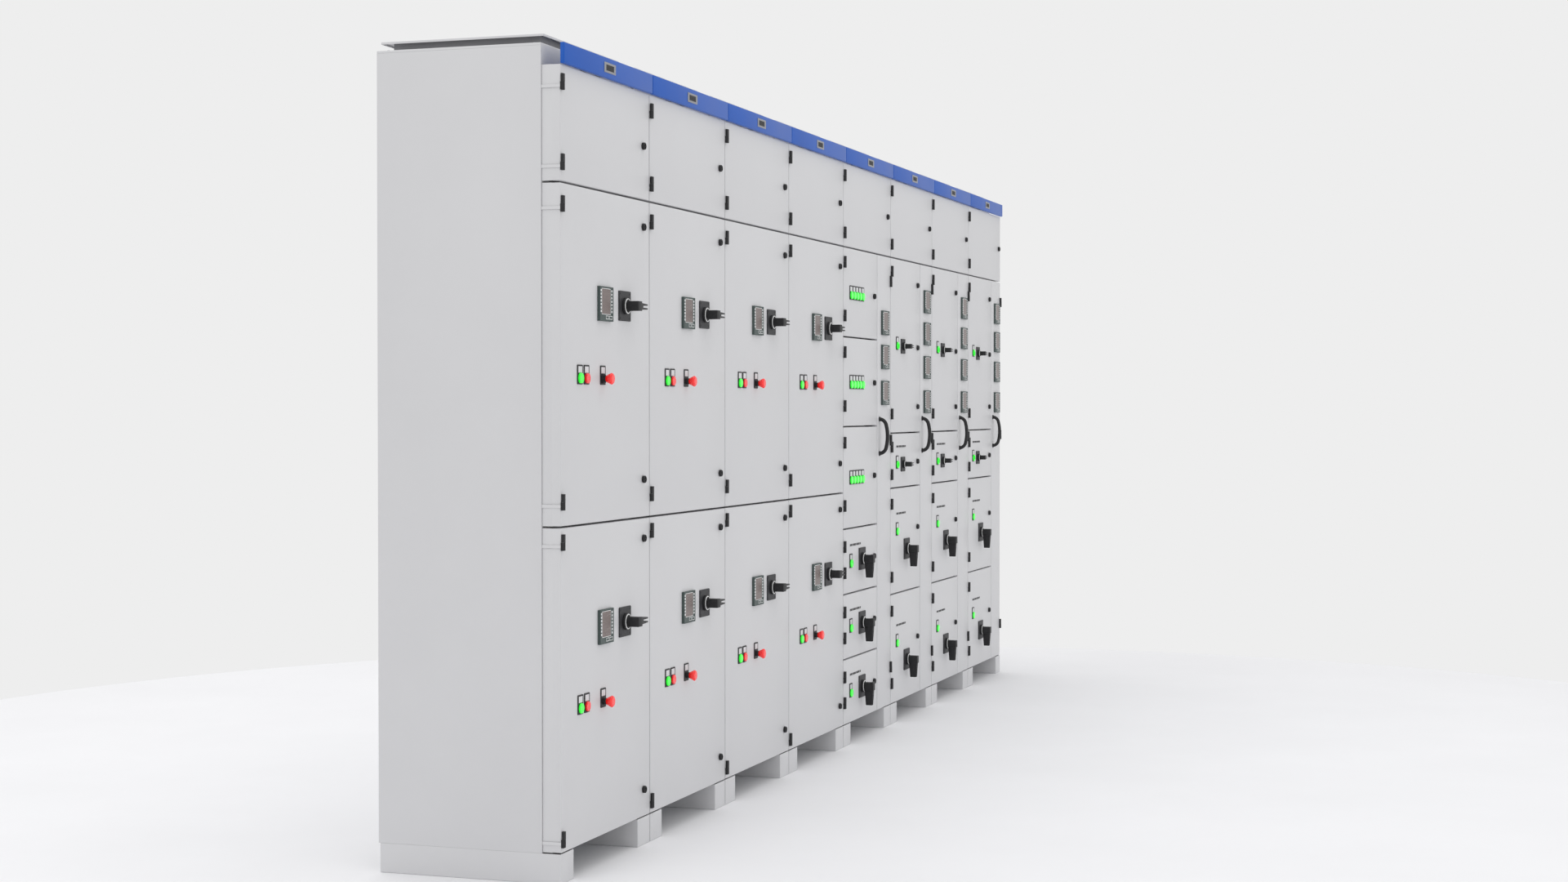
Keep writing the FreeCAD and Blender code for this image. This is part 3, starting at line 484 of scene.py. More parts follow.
@dataclass(frozen=True)
class Finish:
    """A real material and how its surface was made.

    The colour moves between two near values over patches, and the surface has a fine grain.
    """

    name: str
    light: str
    dark: str
    rough: tuple[float, float]
    metallic: float = 0.0
    ior: float = 1.5
    specular: float = 0.5
    coat: float = 0.0
    patch_mm: float = 220.0
    grain_mm: float = 3.0
    grain_depth: float = 0.15
    stretch: Vec = (1.0, 1.0, 1.0)
    glow: float = 0.0

    def shader(self, tree: bpy.types.NodeTree) -> bpy.types.Node:
        """Sets the shader's own sockets.

        Args:
            tree: The material's tree, which holds nothing else.

        Returns:
            The shader.
        """
        settings: dict = {"Metallic": self.metallic, "Coat Weight": self.coat}
        if not self.metallic:
            settings["IOR"] = self.ior
            settings["Specular IOR Level"] = self.specular
        if self.glow:
            settings["Emission Color"] = linear(self.light)
            settings["Emission Strength"] = self.glow
        shader = add_node(tree, "ShaderNodeBsdfPrincipled", settings)
        add_node(tree, "ShaderNodeOutputMaterial", links={"Surface": shader.outputs[0]})
        return shader

    def pattern(self, tree: bpy.types.NodeTree, places: bpy.types.NodeSocket) -> bpy.types.NodeSocket:
        """The mottling that moves the colour and the roughness.

        Args:
            tree: The material's tree.
            places: Object coordinates, in metres.

        Returns:
            A value from 0 to 1.
        """
        scale = 1000 / self.patch_mm
        noise = add_node(
            tree, "ShaderNodeTexNoise", {"Scale": scale, "Detail": 5.0, "Roughness": 0.62}, {"Vector": places}
        )
        spread = add_node(
            tree, "ShaderNodeMapRange", {"From Min": 0.32, "From Max": 0.68}, {"Value": noise.outputs[0]}
        )
        return spread.outputs[0]

    def grain(self, tree: bpy.types.NodeTree, places: bpy.types.NodeSocket) -> bpy.types.NodeSocket:
        """The fine relief's height.

        Args:
            tree: The material's tree.
            places: Object coordinates, in metres.

        Returns:
            A value from 0 to 1.
        """
        scale = 1000 / self.grain_mm
        noise = add_node(tree, "ShaderNodeTexNoise", {"Scale": scale, "Detail": 2.0}, {"Vector": places})
        return noise.outputs[0]

    def build(self) -> bpy.types.Material:
        """Makes the material.

        Returns:
            The material.
        """
        material = bpy.data.materials.new(self.name)
        material.use_nodes = True
        tree = material.node_tree
        tree.nodes.clear()
        shader = self.shader(tree)
        where = add_node(tree, "ShaderNodeTexCoord")
        places = add_node(
            tree, "ShaderNodeMapping", {"Scale": self.stretch}, {"Vector": where.outputs["Object"]}
        ).outputs[0]
        pattern = self.pattern(tree, places)
        colour = add_node(
            tree,
            "ShaderNodeMix",
            {"data_type": "RGBA", 6: linear(self.dark), 7: linear(self.light)},
            {0: pattern},
        )
        tree.links.new(colour.outputs[2], shader.inputs["Base Color"])
        rough = add_node(
            tree, "ShaderNodeMapRange", {"To Min": self.rough[0], "To Max": self.rough[1]}, {"Value": pattern}
        )
        tree.links.new(rough.outputs[0], shader.inputs["Roughness"])
        bump = add_node(
            tree,
            "ShaderNodeBump",
            {"Strength": self.grain_depth, "Distance": 0.0004},
            {"Height": self.grain(tree, places)},
        )
        tree.links.new(bump.outputs[0], shader.inputs["Normal"])
        return material


@dataclass(frozen=True)
class Spangle(Finish):
    """Galvanised sheet, whose zinc froze in flat crystals, each as grey as its neighbour is not."""

    def pattern(self, tree: bpy.types.NodeTree, places: bpy.types.NodeSocket) -> bpy.types.NodeSocket:
        """Crystals of one grey each.

        Args:
            tree: The material's tree.
            places: Object coordinates, in metres.

        Returns:
            A value from 0 to 1.
        """
        cells = add_node(
            tree, "ShaderNodeTexVoronoi", {"Scale": 1000 / self.patch_mm}, {"Vector": places}
        )
        grey = add_node(tree, "ShaderNodeSeparateColor", links={0: cells.outputs["Color"]})
        return grey.outputs[0]


# Powder-coated steel, light grey: sprayed and baked, so it is satin with the faint roll of orange peel. The
# peel is about 1 mm across on the real coat and is drawn at 4 mm so that it shows as a soft unevenness.
GREY_COAT = Finish("powder_coated_steel_grey", "D2D2D4", "D0D0D2", (0.40, 0.46), specular=0.4, grain_mm=4.0,
                   grain_depth=0.06)
# The same coat in blue, on the strip over the doors.
BLUE_COAT = Finish("powder_coated_steel_blue", "0C57B8", "0A52B0", (0.36, 0.42), specular=0.3, grain_mm=4.0,
                   grain_depth=0.06)
# Dark grey coat on the vent rings: matt, because it is thin and baked on expanded metal.
DARK_COAT = Finish("powder_coated_steel_dark", "88888B", "7D7D80", (0.55, 0.68), grain_mm=2.0,
                   grain_depth=0.2)
# Galvanised steel sheet, hot dipped: crystals about 14 mm across, dull bright.
ZINC_SHEET = Spangle("galvanised_steel_sheet", "C3C7CA", "A4A9AD", (0.34, 0.52), metallic=1.0, patch_mm=14.0,
                     grain_mm=1.5, grain_depth=0.08)
# Zinc-plated turned steel: screws, cams and shafts, bright and lightly clouded.
ZINC_PLATE = Finish("zinc_plated_steel", "CDCFD2", "B2B5B9", (0.24, 0.36), metallic=1.0, patch_mm=6.0,
                    grain_mm=0.8, grain_depth=0.1)
# Rolled copper bar: the rolls leave fine streaks along it, and handling leaves dull brown clouds.
COPPER_BAR = Finish("rolled_copper_bar", "C98D6E", "A46A4E", (0.24, 0.42), metallic=1.0, patch_mm=45.0,
                    grain_mm=1.2, grain_depth=0.15, stretch=(0.12, 1.0, 1.0))
# Glass-filled polyester moulding, brown-red: matt, with the pale fibre specks of the filler.
RED_MOULDING = Finish("polyester_moulding_red_brown", "8E3A2A", "75291C", (0.5, 0.62), patch_mm=3.0,
                      grain_mm=1.5, grain_depth=0.3)
# Polyamide moulding, grey: breaker cases, spark-eroded mould, so an even fine matt.
GREY_MOULDING = Finish("polyamide_moulding_grey", "6C7074", "63676B", (0.45, 0.55), patch_mm=60.0,
                       grain_mm=0.9, grain_depth=0.25)
# Polyamide moulding, near white: modular breakers and terminal blocks.
PALE_MOULDING = Finish("polyamide_moulding_pale", "D9DADA", "D0D1D1", (0.38, 0.48), patch_mm=50.0,
                       grain_mm=0.9, grain_depth=0.18)
# Glass-filled polyamide, black: handles, hinges, knobs and tiles, fine leather-like mould grain.
BLACK_MOULDING = Finish("polyamide_moulding_black", "2A2A2C", "242426", (0.46, 0.56), specular=0.3,
                        patch_mm=30.0, grain_mm=1.0, grain_depth=0.35)
# The rotary plates are the same plastic in a dark grey.
PLATE_MOULDING = Finish("polyamide_moulding_charcoal", "38383B", "303033", (0.46, 0.56), specular=0.3,
                        patch_mm=30.0, grain_mm=1.0, grain_depth=0.3)
# Polycarbonate lens, green, lit from behind by its lamp: glossy, with a glow of its own.
GREEN_LENS = Finish("polycarbonate_lens_green", "2CFA35", "24E92E", (0.14, 0.22), ior=1.58, coat=0.3,
                    patch_mm=9.0, grain_mm=2.0, grain_depth=0.05, glow=0.42)
# Polycarbonate cap, red, moulded and polished. Its weak emission is painted glow, because the stop caps and
# emergency-stop heads that use it hold no lamp.
RED_CAP_PAINTED_GLOW = Finish("polycarbonate_cap_red_painted_glow", "FA2320", "EC1A18", (0.16, 0.26), ior=1.58, coat=0.3, patch_mm=9.0,
                 grain_mm=2.0, grain_depth=0.05, glow=0.16)
# ABS meter case, dark green-grey, spark-eroded.
METER_CASE = Finish("abs_case_green_grey", "4C5856", "44504E", (0.46, 0.54), specular=0.35, patch_mm=40.0,
                    grain_mm=1.0, grain_depth=0.25)
# Liquid-crystal display behind an acrylic window: brown-grey, glossy, with the faint rows of its cells.
DISPLAY = Finish("acrylic_display_brown_grey", "776A67", "6E615E", (0.22, 0.30), ior=1.49, specular=0.3,
                 patch_mm=7.0, grain_mm=2.0, grain_depth=0.04, stretch=(0.2, 1.0, 1.0))
# Silicone rubber keys and screen-printed lines, white and matt.
WHITE_PRINT = Finish("silicone_white", "F2F2F2", "E6E6E6", (0.45, 0.6), patch_mm=20.0, grain_mm=0.8,
                     grain_depth=0.1)
# Engraving laminate, white: the legend windows and label strips.
WHITE_LAMINATE = Finish("engraving_laminate_white", "D9D9DB", "CFCFD2", (0.3, 0.4), coat=0.2, patch_mm=25.0,
                        grain_mm=1.0, grain_depth=0.06)
# Brushed aluminium: the nameplate, its brushing drawn along the plate.
BRUSHED_ALUMINIUM = Finish("brushed_aluminium", "A9AAAE", "8D8E93", (0.28, 0.42), metallic=1.0, patch_mm=4.0,
                           grain_mm=0.6, grain_depth=0.3, stretch=(0.05, 1.0, 1.0))
# Foamed polyurethane gasket, poured on the door and cured open-celled, dull dark grey.
GASKET_FOAM = Finish("polyurethane_foam_gasket", "3A3B3C", "2E2F30", (0.85, 0.95), patch_mm=3.0, grain_mm=1.6,
                     grain_depth=0.7)


class Palette:
    """Every finish's material, made once and found by its finish."""

    def __init__(self) -> None:
        """Starts with no material made."""
        self.made: dict[str, bpy.types.Material] = {}

    def __getitem__(self, finish: Finish) -> bpy.types.Material:
        """The finish's material."""
        if finish.name not in self.made:
            self.made[finish.name] = finish.build()
        return self.made[finish.name]


PALETTE = Palette()


class Slot(Enum):
    """The record's material slots, one named for each new piece."""

    PAINT = "painted_steel"
    DARK = "dark_steel"
    BLUE = "blue_steel"
    NAMEPLATE = "nameplate"
    ZINC = "zinc_steel"
    GREY = "grey_moulding"
    BLACK = "black_moulding"
    GREEN = "green_cap"
    RED = "red_cap"
    METER = "meter_case"
    WHITE = "white_moulding"


def register(piece: bpy.types.Object, body: str, slot: Slot, *nodes: str) -> bpy.types.Object:
    """Ties a finished piece to the frame.

    Args:
        piece: The piece, in place.
        body: The body that it moves with.
        slot: The record's slot for its finish; not used.
        *nodes: The CAD nodes that it stands for.

    Returns:
        The piece.
    """
    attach(piece, body)
    if nodes:
        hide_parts(*nodes)
    return piece


ROOT = next(joint["parent"] for joint in frame["joints"] if joint["child"] == "bay1_upper_door")


# ------------------------------------------------------------------ the doors' plan
@dataclass(frozen=True)
class Door:
    """One kind of door: its seams' heights, and the heights of its hinges and locks."""

    low: float
    high: float
    hinges: tuple[float, ...]
    locks: tuple[float, ...]

    @property
    def middle(self) -> float:
        """The height of its middle."""
        return (self.low + self.high) / 2


DOORS: dict[str, Door] = {
    "top": Door(1720, 2008.5, (1767.5, 1963), (1863,)),
    "upper": Door(875, 1720, (936.5, 1666), (977, 1648)),
    "lower": Door(74, 875, (109.5, 838), (149, 820)),
    "signal_high": Door(1411, 1720, (1483, 1667), (1565,)),
    "signal_mid": Door(1102, 1411, (1173, 1358), (1256,)),
    "signal_low": Door(749, 1102, (830, 1047), (925,)),
    "starter_high": Door(524, 749, (599, 689), (636,)),
    "starter_mid": Door(300, 524, (375, 464), (412,)),
    "starter_low": Door(74, 300, (152, 240.5), (187,)),
    "feeder_a": Door(1073, 1720, (1144, 1668), (1171, 1396, 1634)),
    "feeder_b": Door(870, 1073, (921, 1022), (962,)),
    "feeder_c": Door(478, 870, (543, 812), (712,)),
    "feeder_d": Door(74, 478, (151, 418), (292,)),
    "cable": Door(74, 1720, (214, 1048, 1630), ()),
}
LINE_BAYS = range(4)
SIGNAL_BAY = 4
CABLE_SEAM = 421.0
END_INSET = 12.0
WORKING_DOOR = (0, "upper")
LOCK_X = {"line": 551.0, "compartment": 374.0}
METER_X, LINE_ROTARY_X = 285.0, 419.0
METER_UP, TILE_DOWN, TILE_DROP = 135.0, 47.0, 9.0
GREEN_X, RED_X, EMERGENCY_X = 127.5, 168.5, 274.0
LAMP_X, LAMP_PITCH = 87.5, 35.6
STARTER_ROTARY_X = 223.0
FEEDER_ROTARY = {
    "feeder_a": (165.0, 1396.5),
    "feeder_b": (165.0, 956.0),
    "feeder_c": (220.0, 637.0),
    "feeder_d": (220.0, 220.0),
}
FEEDER_LAMP_Z = {"feeder_a": 1406.0, "feeder_b": 965.0, "feeder_c": 717.0, "feeder_d": 302.0}
FEEDER_LABEL_Z = {"feeder_b": 1023.0, "feeder_c": 774.0, "feeder_d": 359.0}
LABEL_X, STARTER_LABEL_DROP = 142.5, 58.0
CABLE_METER_X, BOW_X, BOW_Z = 513.0, 448.0, 1064.0
SIGNAL_METER_Z = (1475.0, 1351.0, 1221.0)
FEEDER_METER_Z = (1577.0, 1453.0, 1323.0, 1190.0)


def kinds_in(bay: int) -> tuple[str, ...]:
    """The kinds of door in one bay, from the bottom.

    Args:
        bay: The bay's place in the line, from 0.

    Returns:
        The kinds.
    """
    if bay in LINE_BAYS:
        return "lower", "upper", "top"
    if bay == SIGNAL_BAY:
        starters = ("starter_low", "starter_mid", "starter_high")
        return (*starters, "signal_low", "signal_mid", "signal_high", "cable", "top")
    return "feeder_d", "feeder_c", "feeder_b", "feeder_a", "cable", "top"


def sides(bay: int, kind: str) -> tuple[float, float]:
    """A door's left and right edge in its bay.

    Args:
        bay: The bay's place in the line, from 0.
        kind: The door's kind.

    Returns:
        Both edges, from the bay's left seam.
    """
    left = END_INSET if bay == 0 else GAP / 2
    right = PITCH - (END_INSET if bay == BAYS - 1 else GAP / 2)
    if kind == "cable":
        return CABLE_SEAM + GAP / 2, right
    if bay not in LINE_BAYS and kind != "top":
        return left, CABLE_SEAM - GAP / 2
    return left, right


def front(centre: Vector, normal: Vector) -> bool:
    """Whether a face looks out from the doors."""
    return normal.y < -0.99


def rear(centre: Vector, normal: Vector) -> bool:
    """Whether a face looks back, away from the doors."""
    return normal.y > 0.99


def endways(first: Vector, last: Vector) -> bool:
    """Whether an edge runs from front to rear."""
    return abs(first.y - last.y) > 0.4


# ------------------------------------------------------------------ the doors' sheet metal
@dataclass
class DoorSkin:
    """A folded steel door with rounded bends and a foam gasket inside it."""

    width: float
    height: float
    depth: float = 49.4
    flange: float = 22.0
    sheet: float = 2.0
    bend: float = 2.6
    gasket_in: float = 14.0
    gasket_width: float = 9.0
    gasket_depth: float = 5.0

    def shell(self, hinged_left: bool) -> bpy.types.Object:
        """Folds the sheet: a front, three shallow returns and a deep one on the hinged side.

        Args:
            hinged_left: Whether its hinges are on the left.

        Returns:
            The folded sheet.
        """
        skin = block("skin", (0, self.width), (0, self.flange), (0, self.height))
        pick(skin, rear)
        bpy.ops.mesh.delete(type="FACE")
        leave()
        hinged = 0.0 if hinged_left else self.width

        def hem(first: Vector, last: Vector) -> bool:
            """Whether an edge is the rear edge of the return on the hinged side."""
            return all(abs(end.x - hinged) < 0.1 and end.y > self.flange - 0.1 for end in (first, last))

        pick_edges(skin, hem)
        bpy.ops.mesh.extrude_region_move(
            TRANSFORM_OT_translate={"value": (0.0, (self.depth - self.flange) * MM, 0.0)}
        )
        leave()
        ease(skin, self.bend, segments=3, angle=60)
        modify(skin, "SOLIDIFY", thickness=self.sheet * MM, offset=-1.0, use_even_offset=True)
        return skin

    def gasket(self) -> bpy.types.Object:
        """The foam bead round the inside of the front.

        Returns:
            The bead.
        """
        low, high = self.gasket_in, self.width - self.gasket_in
        bead = block(
            "gasket",
            (low, high),
            (self.sheet, self.sheet + self.gasket_depth),
            (self.gasket_in, self.height - self.gasket_in),
        )
        inset(bead, lambda centre, normal: abs(normal.y) > 0.99, self.gasket_width)
        inner = self.width / 2 - self.gasket_in - self.gasket_width

        def middle(centre: Vector, normal: Vector) -> bool:
            """Whether a face is one of the two inside the rims."""
            return abs(normal.y) > 0.99 and abs(centre.x - self.width / 2) < inner / 2 and (
                abs(centre.z - self.height / 2) < 1.0
            )

        pick(bead, middle)
        bpy.ops.mesh.bridge_edge_loops()
        leave()
        return ease(bead, 2.0, segments=2)

    def build(self, hinged_left: bool, holes: Sequence[bpy.types.Object] = ()) -> bpy.types.Object:
        """Makes the door's sheet metal.

        Args:
            hinged_left: Whether its hinges are on the left.
            holes: Shapes to cut out of it.

        Returns:
            The piece, with its lower left corner at the origin.
        """
        skin = carve(self.shell(hinged_left), *holes)
        dress(skin, PALETTE[GREY_COAT])
        bead = dress(self.gasket(), PALETTE[GASKET_FOAM])
        return join("door_skin", [skin, bead], smooth=40)


# ------------------------------------------------------------------ fittings, each centred on its own origin
@dataclass
class Meter:
    """A square panel meter with a display and two columns of keys."""

    side: float = 88.0
    proud: float = 8.0
    body: float = 78.0
    body_depth: float = 40.0
    display_x: tuple[float, float] = (-30.0, 24.0)
    display_z: tuple[float, float] = (-26.0, 38.0)
    key: float = 5.6
    key_pitch: float = 8.8
    key_columns: tuple[float, float] = (-37.0, 33.5)
    keys: int = 7

    def bezel(self) -> bpy.types.Object:
        """The case's face, with a raised rim.

        Returns:
            The face.
        """
        half = self.side / 2
        case = block("meter", (-half, half), (-self.proud, 0), (-half, half))
        inset(case, front, 2.2, -0.8)
        ease(case, 0.9)
        return dress(case, PALETTE[METER_CASE])

    def window(self) -> list[bpy.types.Object]:
        """The display and the white line round it.

        Returns:
            The line and the display.
        """
        face = -self.proud + 0.8
        (left, right), (low, high) = self.display_x, self.display_z
        line = block("line", (left - 1.3, right + 1.3), (face - 0.25, face + 0.2), (low - 1.3, high + 1.3))
        glass = block("glass", (left, right), (face - 0.5, face + 0.2), (low, high))
        inset(glass, front, 1.5, -0.15)
        return [dress(line, PALETTE[WHITE_PRINT]), dress(ease(glass, 0.2, 1), PALETTE[DISPLAY])]

    def pads(self) -> list[bpy.types.Object]:
        """The keys, and the two outlined boxes under the display.

        Returns:
            The keys and boxes.
        """
        face = -self.proud + 0.8
        top = self.display_z[1] - 4.5
        half = self.key / 2
        parts = []
        for x in self.key_columns:
            for place in range(self.keys):
                z = top - self.key_pitch * place
                key = block("key", (x - half, x + half), (face - 0.7, face + 0.2), (z - half, z + half))
                inset(key, front, 0.9, 0.15)
                parts.append(dress(key, PALETTE[WHITE_PRINT]))
        for low, high in ((-4.0, 14.0), (18.0, 38.0)):
            box = block("box", (low, high), (face - 0.3, face + 0.2), (-39.0, -30.0))
            inset(box, front, 1.2, -0.2)
            dress(box, PALETTE[WHITE_PRINT])
            dress_faces(
                box,
                PALETTE[METER_CASE],
                lambda centre, normal, low=low, high=high: normal.y < -0.9
                and low + 1.5 < centre.x < high - 1.5
                and -37.0 < centre.z < -32.0,
            )
            parts.append(box)
        return parts

    def housing(self) -> list[bpy.types.Object]:
        """The body behind the door, with its terminal strip and the two clamps that hold it.

        Returns:
            The parts.
        """
        half = self.body / 2
        back = block("housing", (-half, half), (2, self.body_depth), (-half, half))
        inset(back, rear, 6.0, 0.0)
        ease(back, 1.5)
        parts = [dress(back, PALETTE[BLACK_MOULDING])]
        for z in (-24.0, 24.0):
            y = (self.body_depth - 0.5, self.body_depth + 7)
            strip = block("terminals", (-32, 32), y, (z - 8, z + 8))
            inset(strip, rear, 2.0, -2.0)
            parts.append(dress(ease(strip, 0.6, 1), PALETTE[PALE_MOULDING]))
        for x in (-half - 3.5, half + 3.5):
            clamp = block("clamp", (x - 3, x + 3), (4, 30), (-9, 9))
            parts.append(dress(ease(clamp, 0.8), PALETTE[ZINC_PLATE]))
        return parts

    def build(self) -> bpy.types.Object:
        """Makes the meter."""
        return join("meter", [self.bezel(), *self.window(), *self.pads(), *self.housing()])


class Front(Enum):
    """What stands on a legend tile."""

    LAMP = "lamp"
    START = "start"
    STOP = "stop"
    EMERGENCY = "emergency"
    OPEN_START = "open_start"
    OPEN_STOP = "open_stop"
    OPEN_COLLAR = "open_collar"


@dataclass
class Button:
    """A legend tile with its window, what stands on it, and the contact block behind the door."""

    width: float = 33.0
    height: float = 49.0
    proud: float = 2.0
    drop: float = 9.0
    lens: float = 13.5
    cap: float = 13.0
    cap_proud: float = 7.0
    cap_hole: float = 11.15
    neck: float = 8.5
    neck_hole: float = 8.85
    rim: float = 15.5
    head: float = 30.0

    def tile(self, hole: float) -> list[bpy.types.Object]:
        """The black tile and its white window.

        Args:
            hole: The radius of the hole for a working cap, or 0.

        Returns:
            The two parts.
        """
        half, low = self.width / 2, self.drop - self.height / 2
        plate = block("tile", (-half, half), (-self.proud, 0), (low, low + self.height))
        window = block("window", (-half + 4.8, half - 4.8), (-self.proud - 0.3, -0.5), (13.6, 29.6))
        pick_edges(plate, endways)
        bpy.ops.mesh.bevel(offset=2.5 * MM, segments=3)
        leave()
        inset(plate, front, 0.6)
        if hole:
            carve(plate, rod("hole", (hole, hole), -9, 5, sides=48))
        ease(window, 0.3, 1)
        return [dress(plate, PALETTE[BLACK_MOULDING]), dress(window, PALETTE[WHITE_LAMINATE])]

    def lamp(self, radius: float, finish: Finish) -> bpy.types.Object:
        """A domed lens or a flat cap with a broken edge.

        Args:
            radius: The lens's radius.
            finish: The lens's finish.

        Returns:
            The lens.
        """
        lens = rod("lens", (radius - 0.4, radius), -self.cap_proud, -self.proud, sides=32)
        inset(lens, front, 2.4, 0.0)
        inset(lens, lambda centre, normal: normal.y < -0.99 and centre.xz.length < radius / 2, 2.0, 0.0)
        ease(lens, 1.1, 3)
        return dress(lens, PALETTE[finish])

    def ring(self, finish: Finish, radius: float, hole: float) -> bpy.types.Object:
        """The open ring round a working cap.

        Args:
            finish: The ring's finish.
            radius: Its outer radius.
            hole: Its inner radius.

        Returns:
            The ring.
        """
        ring = rod("ring", (radius - 0.3, radius), -self.cap_proud, -self.proud + 0.1, sides=32)
        carve(ring, rod("hole", (hole, hole), -12, 5, sides=48))
        return dress(ring, PALETTE[finish])

    def mushroom(self) -> list[bpy.types.Object]:
        """The emergency stop's neck and flared head.

        Returns:
            The neck and the head.
        """
        neck = rod("neck", (self.neck, self.neck), -13, -self.proud, sides=24)
        head = rod("head", (self.rim, self.neck), -self.head + 4, -11, sides=40)
        pull(head, front, (0, -4, 0))
        pick(head, front)
        bpy.ops.transform.resize(value=(0.78, 1.0, 0.78))
        leave()
        ease(head, 1.6, 3, angle=25)
        # The red head takes the red cap finish, whose emission is painted glow.
        return [dress(neck, PALETTE[BLACK_MOULDING]), dress(head, PALETTE[RED_CAP_PAINTED_GLOW])]

    def contacts(self) -> list[bpy.types.Object]:
        """The mounting collar, the contact block and its two terminal screws.

        Returns:
            The parts.
        """
        collar = rod("collar", (14.5, 14.5), 2.0, 9.5, sides=16)
        case = block("contact", (-14, 14), (10, 42), (-20, 20))
        inset(case, rear, 3.0, -1.2)
        carve(case, block("slot", (-9, 9), (36, 50), (-2, 2)))
        screws = [rod("screw", (3.4, 3.4), 39.0, 41.8, at=(0, z), sides=12) for z in (-11.0, 11.0)]
        parts = [dress(ease(collar, 0.8, 1), PALETTE[BLACK_MOULDING]), dress(case, PALETTE[PALE_MOULDING])]
        return parts + [dress(ease(screw, 0.4, 1), PALETTE[ZINC_PLATE]) for screw in screws]

    def build(self, kind: Front) -> bpy.types.Object:
        """Makes one button, lamp or emergency stop.

        Args:
            kind: What stands on the tile.

        Returns:
            The piece, centred on its round part's axis.
        """
        hole = {Front.OPEN_START: self.cap_hole, Front.OPEN_STOP: self.cap_hole}.get(kind, 0.0)
        if kind is Front.OPEN_COLLAR:
            hole = self.neck_hole
        parts = self.tile(hole)
        if kind is Front.LAMP:
            parts.append(self.lamp(self.lens, GREEN_LENS))
        elif kind is Front.START:
            parts.append(self.lamp(self.cap, GREEN_LENS))
        elif kind is Front.STOP:
            parts.append(self.lamp(self.cap, RED_CAP_PAINTED_GLOW))
        elif kind is Front.EMERGENCY:
            parts += self.mushroom()
        elif kind is Front.OPEN_START:
            parts.append(self.ring(GREEN_LENS, self.cap, self.cap_hole))
        elif kind is Front.OPEN_STOP:
            parts.append(self.ring(RED_CAP_PAINTED_GLOW, self.cap, self.cap_hole))
        else:
            parts.append(self.ring(BLACK_MOULDING, self.neck_hole + 3, self.neck_hole))
        return join(f"button_{kind.value}", parts + self.contacts())


